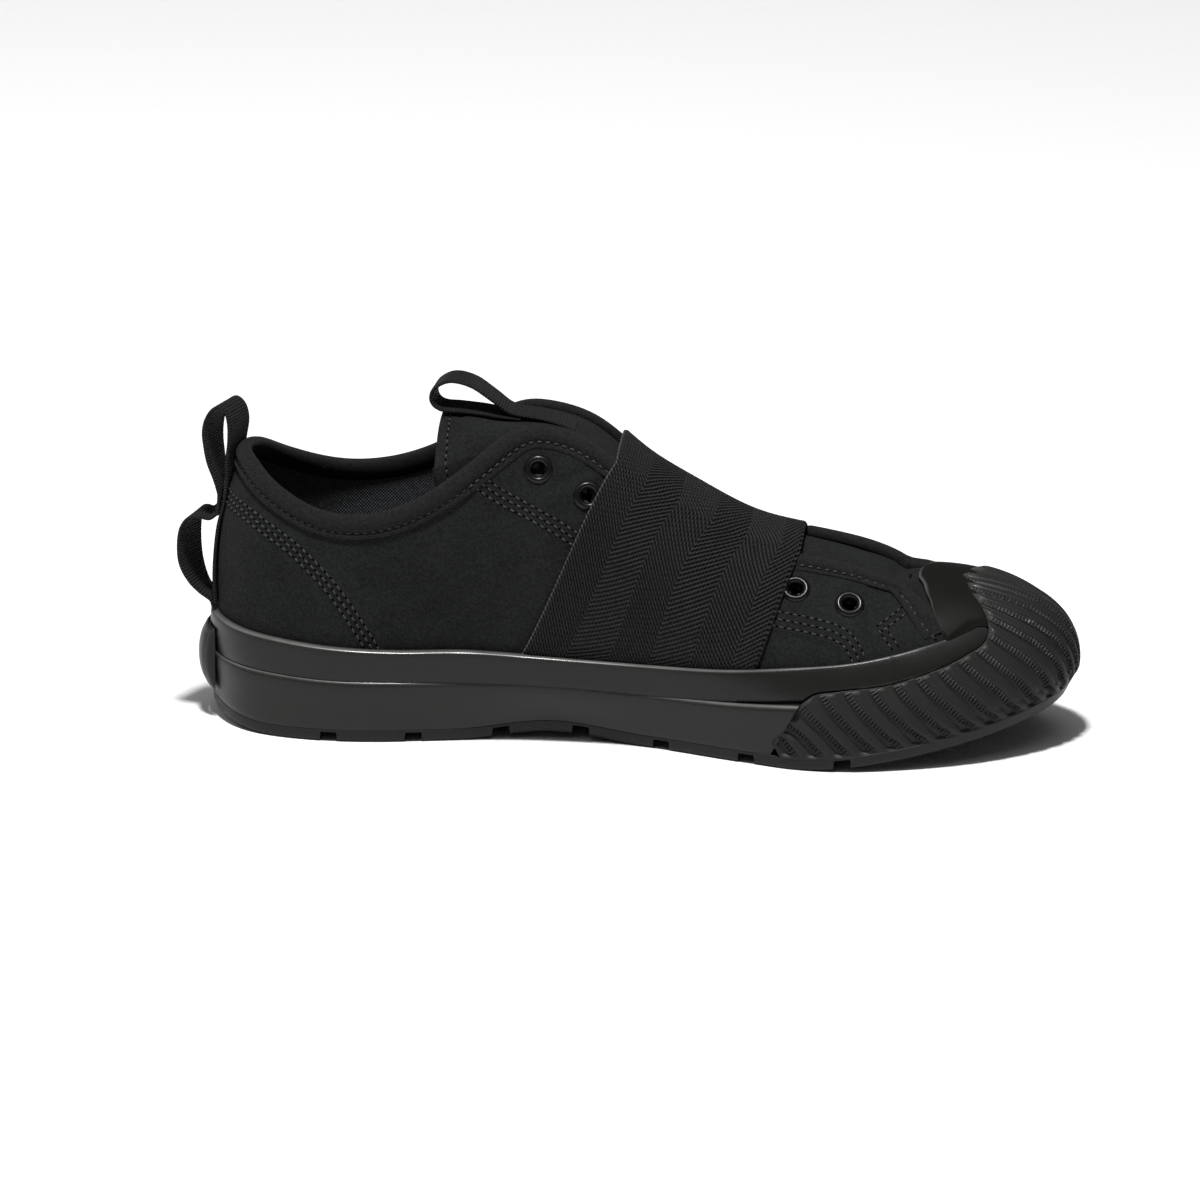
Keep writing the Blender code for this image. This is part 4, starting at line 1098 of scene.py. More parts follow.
def elastic_material():
    """Slanting threads that change direction from column to column."""
    base = tuple(colours().elastic)
    material, n, shader = new_material("band_elastic_weave", base, 0.9, 0.1, 0.02)
    width, pitch = sizes().herringbone_width / MM, sizes().herringbone_pitch / MM
    u, v = n.places()
    zigzag = n.math("PINGPONG", u, width)
    slant = n.wave(n.math("ADD", v, zigzag), pitch)
    cord = n.wave(u, 1.05)
    shifted = n.math("PINGPONG", n.math("ADD", u, width * 0.5), width)
    turn = n.math("ABSOLUTE", n.math("SUBTRACT", shifted, width * 0.5))
    valley = n.ramp(turn, -0.6, 0.5)
    nap = n.group(cloth_nap, Mottle=0.3)
    height = n.math("MULTIPLY", n.math("MULTIPLY_ADD", cord, 0.35, slant), valley)
    shade = n.math("MULTIPLY", n.math("MULTIPLY_ADD", height, 0.85, 0.95), nap["Shade"])
    # Lighter rear edge of the band: painted highlight.
    rear_edge_glint = n.math("SUBTRACT", 1.0, n.ramp(u, 0.25, 0.6))
    shade = n.math("MULTIPLY_ADD", rear_edge_glint, 3.0, shade)
    specks = n.group(lint_specks, Amount=0.02)["Mask"]
    n.feed(shader.inputs["Base Color"], n.blend(specks, n.tint(base, shade), tuple(colours().lint)))
    n.feed(shader.inputs["Roughness"], n.math("MULTIPLY_ADD", nap["Height"], 0.15, 0.78))
    bump(n, shader, n.math("MULTIPLY_ADD", nap["Height"], 0.5, height), 0.00045)
    return material


def tape_material():
    """Webbing with fine ribs across and threads along it."""
    base = tuple(colours().webbing)
    material, n, shader = new_material("webbing_weave", base, 0.8, 0.16, 0.02)
    u, v = n.places()
    rib = n.wave(u, sizes().tape_pitch / MM)
    thread = n.wave(v, 0.8)
    nap = n.group(cloth_nap, Mottle=0.2)
    height = n.math("MULTIPLY_ADD", thread, 0.3, rib)
    shade = n.math("MULTIPLY", n.math("MULTIPLY_ADD", height, 0.22, 0.95), nap["Shade"])
    n.feed(shader.inputs["Base Color"], n.tint(base, shade))
    n.feed(shader.inputs["Roughness"], n.math("MULTIPLY_ADD", nap["Height"], 0.2, 0.62))
    bump(n, shader, n.math("MULTIPLY_ADD", nap["Height"], 0.4, height), 0.00022)
    return material


def thread_material():
    """Twisted sewing thread."""
    base = tuple(colours().thread)
    material, n, shader = new_material("sewing_thread", base, 0.4, 0.4, 0.0)
    nap = n.group(cloth_nap, Fibre=3200.0, Mottle=0.5)
    n.feed(shader.inputs["Base Color"], n.tint(base, nap["Shade"]))
    bump(n, shader, nap["Height"], 0.0002)
    return material


def hole_material():
    """Black discs at the needle holes between the stitches: painted shade."""
    return new_material("needle_hole", (0.002, 0.002, 0.002), 1.0, 0.0)[0]


def metal_material():
    """Black enamel on the eyelets."""
    base = tuple(colours().metal)
    material, n, shader = new_material("eyelet_enamel", base, 0.38, 0.22)
    face = n.group(rubber_skin, Roughness=0.28, Marks=0.12, Grain=900.0)
    n.feed(shader.inputs["Base Color"], n.tint(base, face["Shade"]))
    n.feed(shader.inputs["Roughness"], face["Roughness"])
    bump(n, shader, face["Height"], 0.00002)
    return material


def tread_bars(n):
    """Fine zigzag lines of the tread under the sole."""
    u, v = n.places()
    line = n.wave(n.math("ADD", u, n.math("PINGPONG", v, 7.0)), 4.0)
    return n.ramp(line, -0.2, 0.3)


class PieceOperator:
    """Options that the operators share."""

    bl_options = {"REGISTER", "UNDO"}


def full_ring(step):
    """Places round the sole in pairs that face each other across the shoe, heel first."""
    sides = [g + side * GROOVE_WIDTH / 2.0 for g in GROOVES for side in (-1, 1)]
    edges = [side + slip for side in sides for slip in (-0.12, 0.12)]
    x = np.concatenate([np.arange(-145.6, 145.7, step), [-145.9, 145.9], edges])
    x = np.unique(np.round(x, 3))
    return np.concatenate([[0.0], u_at(x, True), [TOE_U], u_at(x[::-1], False)])


def across_sole(ring, count):
    """Points from the inner to the outer edge at each place of a ring."""
    half = len(ring) // 2
    k = np.arange(half + 1)
    left, right = ring[k], ring[(-k) % len(ring)]
    t = np.linspace(0.0, 1.0, count)[None, :, None]
    return left[:, None] * (1.0 - t) + right[:, None] * t


def tuck(u):
    """How far the sole's lower edge is drawn in round the toe."""
    way = round_from_toe(u)
    drawn = BALL_TUCK + (TOE_TUCK - BALL_TUCK) * np.exp(-(way / 22.0) ** 2)
    return drawn * (1.0 - smooth(way, 60.0, 105.0))


class SNEAKER_OT_outsole(PieceOperator, bpy.types.Operator):
    """Tread layer with its cross grooves and fine zigzag lines"""

    bl_idname = "sneaker.outsole"
    bl_label = "Build the outsole"

    def execute(self, context):
        u = full_ring(2.0)
        edge = SIDE_BAND - undercut(u) + 0.8 * smooth(SHAPE.at(u)[:, 0], 38.0, 52.0)

        def grooved(x, rise):
            near = np.min([np.abs(x - g) for g in GROOVES], axis=0)
            return bottom(x) + np.where(near < GROOVE_WIDTH / 2.0, np.maximum(GROOVE_DEPTH, rise), rise)

        place = SHAPE.at(u)[:, 0]
        rings = []
        drawn = tuck(u)
        for row in OUTSOLE_EDGE:
            ring = level_ring(u, edge - row.inset - row.drawn * drawn, bottom)
            ring[:, 2] += grooved(place, row.rise) - bottom(place)
            rings.append(ring)
        rings.append(level_ring(u, np.zeros(len(u)), lambda x: bottom(x) + OUTSOLE_THICKNESS))
        rings.append(level_ring(u, np.zeros(len(u)), lambda x: seat(x) - GAP))
        build = Build()
        wall = np.stack(rings, 1)
        build.add_grid(wall, places_of(wall, True) + np.array([0.0, 400.0]), True)
        under = across_sole(rings[0], 15)
        build.add_grid(under, under[..., :2] + 200.0, kind=1)
        over = across_sole(rings[-1], 5)
        build.add_grid(over, over[..., :2] + 200.0)
        rubber = tuple(colours().rubber)
        materials = [rubber_material("outsole_rubber_skin", rubber, 0.5, 0.2),
                     rubber_material("tread_rubber", rubber, 0.55, 0.2, relief=tread_bars, depth=0.00012)]
        build.make("outsole_rubber_layer", materials, "outsole_rubber", ("outsole",), 35.0)
        return {"FINISHED"}


class SNEAKER_OT_sidewall(PieceOperator, bpy.types.Operator):
    """Lower rubber band with its rounded ledge, hollowed along the arch"""

    bl_idname = "sneaker.sidewall"
    bl_label = "Build the lower band"

    def execute(self, context):
        shares, reach, hollow, glint, inside = (column(SIDEWALL, key) for key in Side._fields)
        t = np.linspace(0.0, 1.0, 170)
        runs = []
        for inner in (False, True):
            low, top = u_at(BUMPER_END_LOW, inner), u_at(BUMPER_END_TOP, inner)
            end = low + (top - low) * shares + (SIDEWALL_LAP if inner else -SIDEWALL_LAP - ROUND)
            runs.append(t[:, None] * end[None])
        u = np.concatenate([runs[0][:0:-1], runs[1]])
        foot = bare(u, 0.0)
        n = outward(u)
        face = foot[..., :2] + n * (SIDE_BAND + reach - hollow * undercut(u))[..., None]
        low = bottom(np.where(inside[None], foot[..., 0], face[..., 0])) + OUTSOLE_THICKNESS + GAP
        z = low + (LEDGE(foot[..., 0]) - low) * shares
        v = share_at(u, z)
        wall = np.where((z > seat(foot[..., 0]))[..., None], bare(u, v)[..., :2], foot[..., :2])
        plan = np.where(inside[None, :, None], wall + n * (GAP + 0.15), face)
        build = Build()
        # The rub column gives a painted highlight along the ledge's lip.
        add_sweep(build, np.concatenate([plan, z[..., None]], -1), glint)
        rubber = tuple(colours().rubber)
        material = rubber_material("sidewall_rubber_skin", rubber, 0.36, 0.26, 0.08, edge=1.0)
        build.make("sidewall_rubber_band", [material], "sidewall_rubber", ("sidewall",), 60.0)
        return {"FINISHED"}


class SNEAKER_OT_foxing(PieceOperator, bpy.types.Operator):
    """Upper rubber band with its rounded top lip and overlapped end"""

    bl_idname = "sneaker.foxing"
    bl_label = "Build the foxing"

    def execute(self, context):
        ends = [u_at(FOXING_END, False) - ROUND, u_at(FOXING_END, True)]
        u = np.concatenate([np.linspace(ends[0], 0.0, 300), np.linspace(0.0, ends[1], 300)[1:]])
        x = SHAPE.at(u)[:, 0]
        foot = bare(u, 0.0)
        ledge = share_at(u, LEDGE(foot[:, 0]) + GAP)
        above = bumper_share(u) + 0.004
        low = np.maximum(ledge, above)
        top = np.maximum(share_at(u, FOXING_TOP(x)), low + 0.015)
        shares, reach, glint = (column(FOXING, key) for key in Lip._fields)
        tip = 1.0 - 0.32 * smooth(x, 44.0, 64.0) - 0.46 * smooth(x, 98.0, 116.0)
        tip = tip - 0.10 * smooth(x, 118.0, 129.0)
        lap = 1.0 - 0.09 * smooth(x, 88.6, 89.1) * is_inner(u)
        off = np.where(reach[None] > 1.0, reach[None] * (tip * lap)[:, None], reach[None])
        v = low[:, None] + (top - low)[:, None] * shares[None]
        grid_u = np.broadcast_to(u[:, None], v.shape)
        rings = skin(grid_u, v, off)
        face = bare(grid_u, v)
        level = np.concatenate([face[..., :2] + outward(grid_u) * off[..., None], face[..., 2:]], -1)
        front = smooth(x, 46.0, 58.0)[:, None, None]
        rings[:, :2] = (level * (1.0 - front) + rings * front)[:, :2]
        build = Build()
        # Painted highlight along the top lip, fading out towards the toe.
        add_sweep(build, rings, glint[None] * (1.0 - smooth(x, 98.0, 112.0))[:, None])
        material = rubber_material("foxing_rubber_skin", tuple(colours().rubber), 0.36, 0.24, 0.08, edge=1.0)
        build.make("foxing_rubber_band", [material], "foxing_rubber", ("foxing",), 60.0)
        return {"FINISHED"}


def bumper_side(shares, inner):
    """Lines up one side of the bumper, several to a rib.

    Gives their places and shares on the shoe, reach, distance to the bumper's end, height and part
    of the rib, pitch of the ribs, and distances along the rib from its foot and to its top.
    """
    parts, heights = column(RIDGE, "part"), column(RIDGE, "height")
    keys = column(BUMPER, "share")
    fixed, upward = (np.interp(shares, keys, column(BUMPER, key)) for key in ("fixed", "upward"))
    side, toe, rear, drawn = (along(BUMPER, "share", key)(shares) for key in ("side", "toe", "rear", "drawn"))
    rib = np.arange(RIBS[-1].count)[:, None] + parts[None]
    ends = [round_from_toe(u_at(x, inner)) for x in (BUMPER_END_LOW, BUMPER_END_TOP)]
    limit = ends[0] + (ends[1] - ends[0]) * shares
    low, top = RIB_LOW(rib)[..., None], RIB_TOP(rib)[..., None]
    away = top - (top - low) * (1.0 - shares) ** RIB_BEND
    pitch = np.gradient(away.reshape(-1, len(shares)), rib.ravel(), axis=0).reshape(away.shape)
    u = TOE_U + (-1.0 if inner else 1.0) * np.minimum(away, limit)
    v = fixed + upward * bumper_share(u)
    left = limit - np.minimum(away, limit)
    front = np.exp(-(away / 30.0) ** 2)
    off = side + (toe - side) * front + rear * (1.0 - smooth(left, 4.0, 34.0)) - drawn * tuck(u)
    plain = skin(u, v, off)
    middle = plain[:, len(parts) // 2 - 1][:, None]
    ahead = unit(np.gradient(middle, axis=2))
    run = np.cumsum(np.linalg.norm(np.diff(middle, axis=2, prepend=middle[:, :, :1]), axis=-1), -1)
    rung_run = run + ((plain - middle) * ahead).sum(-1)
    ridge, part = (np.broadcast_to(each[None, :, None], away.shape) for each in (heights, parts))
    ending = run[..., -1:] - rung_run
    found = (u, v, off, left, ridge, part, pitch, rung_run, ending)
    lines = [each.reshape(-1, len(shares)) for each in found]
    keep = np.append(True, np.any(np.abs(np.diff(lines[0], axis=0)) > 1e-6, axis=1))
    return [each[keep] for each in lines]


class SNEAKER_OT_bumper(PieceOperator, bpy.types.Operator):
    """Ribbed toe bumper with laddered grooves and a smooth lip"""

    bl_idname = "sneaker.bumper"
    bl_label = "Build the toe bumper"

    def execute(self, context):
        shares = np.concatenate([np.linspace(0.0, 0.96, 138), np.linspace(0.965, 1.0, 8)])
        outer_side = [each[:0:-1] for each in bumper_side(shares, False)]
        both = zip(outer_side, bumper_side(shares, True))
        u, v, off, left, ridge, part, pitch, run, ending = [np.concatenate(pair) for pair in both]
        bars = smooth(np.sin(run * 2.0 * math.pi / (sizes().rung_pitch / MM)), -0.6, 0.5)
        ladder = smooth(part, 0.15, 0.19) * (1.0 - smooth(part, 0.45, 0.49))
        rung = 0.46 * bars * ladder * smooth(run, 1.0, 1.6) * smooth(ending, 0.4, 1.0)
        tip = np.exp(-((u - TOE_U) / 40.0) ** 2) * smooth(shares, 0.35, 0.9)[None]
        rung = rung * (1.0 - 0.35 * tip)
        depth = sizes().rib_depth / MM * smooth(shares, 0.0, 0.07)[None] * smooth(left, 0.0, 1.4)
        depth = depth * smooth(pitch, 1.5, 4.5)
        bevel = -(1.3 - 0.6 * np.exp(-((u - TOE_U) / 30.0) ** 2)) * smooth(shares, 0.962, 1.0)[None] ** 1.3
        end = -0.35 * (1.0 - smooth(left, 0.0, 0.8))
        relief = np.minimum(np.minimum(depth * (ridge + rung), bevel), end)
        outer = skin(u, v, off + relief)
        # Lighter colour on the crowns of the rib ends and on the rung tops: painted highlight.
        crown = smooth(shares, 0.93, 0.965)[None] * (1.0 - smooth(shares, 0.975, 1.0)[None])
        crown = crown * smooth(ridge + rung, -0.62, -0.25)
        rung_glint = 0.3 * bars * ladder * smooth(shares, 0.3, 1.0)[None] * (1.0 - tip)
        glint = np.clip(0.5 * crown + rung_glint, 0.0, 1.0)
        every = 29
        back = skin(u[:, ::every], v[:, ::every], np.minimum(1.0 + shares[None, ::every], 1.1))
        build = Build()
        front = build.add_grid(outer, np.stack([run, glint], -1))
        behind = build.add_grid(back, np.zeros(back.shape[:2] + (2,)))
        build.join(front[:, 0], behind[:, 0])
        build.join(front[:, -1], behind[:, -1])
        near = np.minimum(np.arange(len(shares)) // every, back.shape[1] - 1)
        for k in (0, -1):
            build.join(front[k], build.add_points(back[k][near]))
        material = rubber_material("bumper_rubber_skin", tuple(colours().bumper), 0.46, 0.14, 0.1, edge=0.6)
        build.make("toe_bumper_rubber", [material], "bumper_rubber", ("toe_bumper",), 45.0)
        return {"FINISHED"}


class SNEAKER_OT_cap(PieceOperator, bpy.types.Operator):
    """Smooth toe cap between bumper and throat"""

    bl_idname = "sneaker.cap"
    bl_label = "Build the toe cap"

    def execute(self, context):
        way = np.linspace(-CAP_REACH, CAP_REACH, 150)
        u = TOE_U - way
        foxing = share_at(u, FOXING_TOP(SHAPE.at(u)[:, 0]))
        beside = smooth(np.abs(way), 22.0, 34.0)
        bumper = bumper_share(u)
        low = np.maximum(foxing - 0.02, bumper - 0.06) * beside + (bumper - 0.06) * (1.0 - beside)
        high = np.maximum(CAP_SHARE(np.abs(way)), low + 0.01)
        t = np.concatenate([np.linspace(0.0, 0.9, 34), [0.94, 0.965, 0.982, 0.993, 1.0]])
        v = low[:, None] + (high - low)[:, None] * t[None]
        grid = np.broadcast_to(u[:, None], v.shape)
        rim = 0.9 * smooth(t, 0.965, 1.0) ** 2
        side = smooth(CAP_REACH - np.abs(way), 0.0, 2.0)[:, None]
        sink = 0.6 * (1.0 - smooth(t, 0.0, 0.2))
        outer = skin(grid, v, 0.35 + (CAP_THICKNESS - 0.3 - rim[None] - sink[None]) * (0.4 + 0.6 * side))
        inner = skin(grid, v, 0.05)
        # Lighter band along the rear rim: painted highlight.
        glint = np.broadcast_to(smooth(t, 0.955, 0.985) * (1.0 - smooth(t, 0.99, 1.0)), v.shape)
        build = Build()
        front = build.add_grid(outer, np.stack([grid, glint], -1))
        back = build.add_grid(inner, np.zeros(v.shape + (2,)))
        build.close_rims(front, back)
        cap = tuple(colours().cap)
        material = rubber_material("cap_rubber_skin", cap, 0.46, 0.06, 0.08, depth=0.00003, edge=0.9)
        build.make("toe_cap_rubber", [material], "cap_rubber", ("toe_cap",), 60.0)
        return {"FINISHED"}


class SNEAKER_OT_patch(PieceOperator, bpy.types.Operator):
    """Plain plate over both bands at the back of the heel"""

    bl_idname = "sneaker.patch"
    bl_label = "Build the heel plate"

    def execute(self, context):
        t = np.linspace(-1.0, 1.0, 33)
        u = PATCH_HALF * t
        heights = PATCH_LOW + PATCH_HEIGHT * np.linspace(0.0, 1.0, 25)
        n = outward(u)
        foot = bare(u, 0.0)[:, :2]
        half = PATCH_HEIGHT / 2.0
        across, upright = np.abs(t)[:, None], np.abs(heights - PATCH_LOW - half)[None] / half
        dome = (1.0 - np.clip(upright, 0.0, 1.0) ** 2.2) ** 0.8 * (1.0 - across ** 5) ** 0.7
        line = 0.22 * np.exp(-((np.maximum(across * 1.05, upright) - 0.80) / 0.05) ** 2)
        reach = SIDE_BAND + 1.1 + 3.3 * dome - line
        lean = np.broadcast_to(heights[None], reach.shape)
        outer = np.concatenate([foot[:, None] + n[:, None] * reach[..., None], lean[..., None]], -1)
        back = np.full(reach.shape, SIDE_BAND + 0.9)
        inner = np.concatenate([foot[:, None] + n[:, None] * back[..., None], lean[..., None]], -1)
        build = Build()
        add_shell(build, outer, inner)
        material = rubber_material("patch_rubber_skin", tuple(colours().rubber), 0.4, 0.22, 0.08)
        build.make("heel_plate_rubber", [material], "patch_rubber", ("heel_patch",), 60.0)
        return {"FINISHED"}


def from_line(path, x, z):
    """Distance from a sewn line, with a sign for its side."""
    pts = np.array(path, float)
    best = np.full(np.shape(x), 1e9)
    signed = np.zeros(np.shape(x))
    for a, b in zip(pts[:-1], pts[1:]):
        d = b - a
        length = np.linalg.norm(d)
        t = np.clip(((x - a[0]) * d[0] + (z - a[1]) * d[1]) / length ** 2, 0.0, 1.0)
        dx, dz = x - a[0] - t * d[0], z - a[1] - t * d[1]
        far = np.hypot(dx, dz)
        side = np.sign(d[0] * dz - d[1] * dx)
        nearer = far < best
        best = np.where(nearer, far, best)
        signed = np.where(nearer, far * side, signed)
    return signed


def canvas_relief(u, v):
    """Height of panels and folds over the plain canvas."""
    face = bare(u, v)
    x, z = face[..., 0], face[..., 2]
    step = sizes().panel_step / MM
    way = round_from_toe(u)
    relief = step * smooth(from_line(EYESTAY_SEAM, x, z), -3.9, -3.3) * smooth(75.0 - x, 0.0, 1.0)
    relief = relief + step * smooth(-from_line(COUNTER_SEAM, x, z), -3.9, -3.3)
    for inner, folds in ((True, FOLDS_INNER), (False, FOLDS_OUTER)):
        for fold in folds:
            a, d = np.array([fold.x0, fold.z0]), np.array([fold.x1 - fold.x0, fold.z1 - fold.z0])
            t = np.clip(((x - a[0]) * d[0] + (z - a[1]) * d[1]) / (d @ d), 0.0, 1.0)
            far = np.hypot(x - a[0] - t * d[0], z - a[1] - t * d[1])
            shape = np.exp(-(far / fold.width) ** 2) * (0.4 + 0.6 * np.sin(math.pi * np.clip(t, 0.02, 0.98)))
            relief = relief - fold.depth * shape * (is_inner(u) == inner)
    bound = BOUND_WAY(v)
    vamp = (1.0 - smooth(way, bound - 1.5, bound)) * smooth(v, 0.45, 0.6)
    return relief * (1.0 - vamp) - 0.7 * vamp


class SNEAKER_OT_upper(PieceOperator, bpy.types.Operator):
    """Hollow canvas upper with sewn-on panels, folds, lining and eyelet holes"""

    bl_idname = "sneaker.upper"
    bl_label = "Build the upper"

    def execute(self, context):
        u = np.linspace(0.0, ROUND, 620, endpoint=False)
        v = np.linspace(0.0, 1.0, 84)
        grid_u, grid_v = np.meshgrid(u, v, indexing="ij")
        outer = skin(grid_u, grid_v, canvas_relief(grid_u, grid_v))
        lining_v = np.linspace(0.0, 1.0, 44)
        inner_u, inner_v = np.meshgrid(u[::2], lining_v, indexing="ij")
        inner = skin(inner_u, inner_v, np.where(inner_v > 0.995, -WALL + 0.4, -WALL))
        centres = [bare(*spot(e.x, e.z, side)) for e in EYELETS for side in (True, False)]

        def solid(points):
            ring = np.concatenate([points, points[:1]])
            middle = corners(ring, 0).mean(0)
            near = np.min([np.linalg.norm(middle - c, axis=-1) for c in centres], axis=0)
            return near > EYELET_HOLE + 0.4

        build = Build()
        build.add_grid(outer, places_of(outer, True), True, 0, solid(outer))
        build.add_grid(inner, places_of(inner, True), True, 1, solid(inner))
        canvas = canvas_material("upper_canvas_cloth", tuple(colours().canvas), sizes().canvas_pitch)
        lining = canvas_material("lining_cloth", tuple(colours().lining), 0.0012, 0.0, 0.2)
        build.make("upper_canvas_shell", [canvas, lining], "upper_canvas", ("upper",), 60.0)
        return {"FINISHED"}


def bound_path():
    """Places and shares of the bound edge: outer front end, round the heel, inner front end."""
    front = open_spline([(e.way, e.share * 60.0) for e in BOUND_FRONT], 90)
    inner = np.column_stack([TOE_U - front[:, 0], np.minimum(front[:, 1] / 60.0, 1.0)])
    outer = np.column_stack([TOE_U + front[:, 0] - ROUND, inner[:, 1]])
    middle = np.linspace(outer[0, 0], inner[0, 0], 900)[1:-1]
    path = np.vstack([outer[::-1], np.column_stack([middle, np.ones(len(middle))]), inner])
    spots = bare(path[:, 0], path[:, 1])
    both = even(np.column_stack([spots, path]), 1.0)
    return both[:, 3:]


def edge_frame(path):
    """Points of the bound edge and the direction into its panel, also in places and shares."""
    points = bare(path[:, 0], path[:, 1])
    out = normal(path[:, 0], path[:, 1])
    ahead = unit(np.gradient(points, axis=0))
    into = unit(np.cross(ahead, out))
    du = (bare(path[:, 0] + 0.5, path[:, 1]) - bare(path[:, 0] - 0.5, path[:, 1]))
    dv = (bare(path[:, 0], path[:, 1]) - bare(path[:, 0], path[:, 1] - 0.02)) / 0.02
    a, b, c = (du * du).sum(-1), (du * dv).sum(-1), (dv * dv).sum(-1)
    p, q = (into * du).sum(-1), (into * dv).sum(-1)
    det = a * c - b * b
    step = np.column_stack([(c * p - b * q) / det, (a * q - b * p) / det])
    upward = step[np.argmin(np.abs(path[:, 0])), 1] > 0.0
    return (points, -into, -step) if upward else (points, into, step)


class SNEAKER_OT_binding(PieceOperator, bpy.types.Operator):
    """Tape rolled over the collar, the throat and the front of the eyestays"""

    bl_idname = "sneaker.binding"
    bl_label = "Build the bound edge"

    def execute(self, context):
        path = bound_path()
        points, into, step = edge_frame(path)
        x = points[:, 0]
        covered = smooth(x, -10.0, -2.0) * (1.0 - smooth(x, 48.0, 54.0))
        flat = 1.0 - 0.65 * covered
        front = smooth(np.minimum(np.arange(len(x)), len(x) - 1 - np.arange(len(x))), 0.0, 12.0)
        rings = []
        for row in ROLL:
            uv = path + step * row.below
            off = row.out * np.where(row.out > 0.7, flat, 1.0) * (0.35 + 0.65 * front)
            place = skin(uv[:, 0], np.clip(uv[:, 1], 0.02, 1.0), off)
            rings.append(place - into * row.rise)
        rings = np.stack(rings, 1)
        build = Build()
        add_sweep(build, rings)
        material = canvas_material("binding_twill", tuple(colours().binding), 0.0007, 0.02, 0.2, 0.03)
        build.make("bound_edge_tape", [material], "upper_canvas", (), 80.0)
        return {"FINISHED"}


def over_throat(left, right, places, fullness, count):
    """Points up the inner side, in a bow across the throat and down the outer side."""
    width = np.linalg.norm(right[-1] - left[-1])
    leads = []
    for u in places:
        d = bare(u, 1.0) - bare(u, 0.97)
        leads.append(d / np.linalg.norm(d) * width * fullness)
    t = np.linspace(0.0, 1.0, count)[1:-1, None]
    w = 1.0 - t
    a, b = left[-1], right[-1]
    middle = a * w ** 3 + (a + leads[0]) * (3 * w * w * t) + (b + leads[1]) * (3 * w * t * t) + b * t ** 3
    return np.concatenate([left, middle, right[::-1]])


def tongue_grid():
    """Upper face of the tongue from the cap to its free top."""
    x = np.concatenate([[144.0, 138.0, 131.0], np.arange(124.0, -38.1, -4.0)])
    fullness = np.interp(x, (-36, 40, 60, 100, 143), (0.04, 0.12, 0.36, 0.36, 0.25))
    depth = np.interp(x, (60.0, 84.0, 104.0, 125.0), (TONGUE_DEPTH, TONGUE_DEPTH, 1.2, 0.75))
    v = 0.84 + (1.0 - 0.84) * np.linspace(0.0, 1.0, 9)
    rows = []
    for each, full, deep in zip(x, fullness, depth):
        places = [float(u_at(each, side)) for side in (True, False)]
        left, right = (skin(np.full(len(v), u), v, -deep) for u in places)
        rows.append(over_throat(left, right, places, full, 43))
    count = len(rows[0])
    t = np.linspace(-1.0, 1.0, count)
    swing = np.sin(np.clip(t * 1.25, -1.0, 1.0) * math.pi / 2.0)
    tail = (np.abs(t) - 0.8).clip(0.0)
    for arch in TONGUE_TOP:
        y = arch.half * swing + np.sign(t) * arch.spread * tail * 5.0
        z = arch.side + (arch.crest - arch.side) * (1.0 - np.abs(swing) ** 2.6)
        z = z - arch.drop * tail * 5.0
        rows.append(np.column_stack([np.full(count, arch.x) + 1.5 * tail * 5.0, y, z]))
    rows = np.array(rows)
    middle = rows[:, count // 2]
    run = run_length(middle)
    at = np.linspace(0.0, run[-1], 190)
    dense = np.empty((len(at), count, 3))
    for k in range(count):
        for c in range(3):
            dense[:, k, c] = curve(run, rows[:, k, c])(at)
    return dense


def grid_normals(points):
    n = np.cross(np.gradient(points, axis=0), np.gradient(points, axis=1))
    return unit(n)


def tongue_face():
    """Upper face of the tongue with its turned rear edge, and the directions out of it."""
    grid = tongue_grid()
    n = grid_normals(grid)
    if n[90, grid.shape[1] // 2, 2] < 0.0:
        n = -n
    behind = run_length(grid[:, grid.shape[1] // 2])
    left = behind[-1] - behind
    hem = 0.4 * np.exp(-((left - 2.0) / 2.2) ** 2) - 0.45 * np.exp(-((left - 7.0) / 0.7) ** 2)
    ease = np.maximum(0.0, 1.0 - left / 1.6) ** 2
    return grid + n * (hem - ease * 1.0)[:, None, None], n


class SNEAKER_OT_tongue(PieceOperator, bpy.types.Operator):
    """Tongue with its turned edge and sewn rear border"""

    bl_idname = "sneaker.tongue"
    bl_label = "Build the tongue"

    def execute(self, context):
        outer, n = tongue_face()
        inner = outer - n * TONGUE_THICKNESS
        build = Build()
        add_shell(build, outer, inner, kinds=(0, 1))
        cloth = canvas_material("tongue_canvas_cloth", tuple(colours().canvas), sizes().canvas_pitch, 0.03)
        lining = canvas_material("lining_cloth", tuple(colours().lining), 0.0012, 0.0, 0.2)
        build.make("tongue_canvas_piece", [cloth, lining], "tongue_canvas", ("tongue",), 60.0)
        return {"FINISHED"}


class SNEAKER_OT_insole(PieceOperator, bpy.types.Operator):
    """Cloth-covered footbed, slightly dished"""

    bl_idname = "sneaker.insole"
    bl_label = "Build the insole"

    def execute(self, context):
        u = full_ring(4.0)
        inset = np.full(len(u), -INSOLE_INSET)
        low = level_ring(u, inset, seat)
        edge = level_ring(u, inset, lambda x: seat(x) + INSOLE_THICKNESS - 0.6)
        rim = level_ring(u, inset - 0.8, lambda x: seat(x) + INSOLE_THICKNESS)
        build = Build()
        wall = np.stack([low, edge, rim], 1)
        build.add_grid(wall, places_of(wall, True), True)
        top = across_sole(rim, 25)
        t = np.linspace(-1.0, 1.0, 25)
        inward = np.minimum(top[..., 0] + 128.0, 130.0 - top[..., 0])
        top[..., 2] -= 1.2 * (1.0 - t ** 4)[None] * smooth(inward, 0.0, 25.0)
        build.add_grid(top, top[..., :2] + 200.0)
        under = across_sole(low, 5)
        build.add_grid(under, under[..., :2] + 200.0)
        cloth = canvas_material("insole_twill", tuple(colours().lining), 0.0014, 0.02)
        build.make("insole_cloth_bed", [cloth], "insole_cloth", ("insole",), 50.0)
        return {"FINISHED"}


def bowed(share, bow):
    """Share of the way up an edge that is bowed rather than straight."""
    return share * (1.0 + bow) - bow * share ** 2


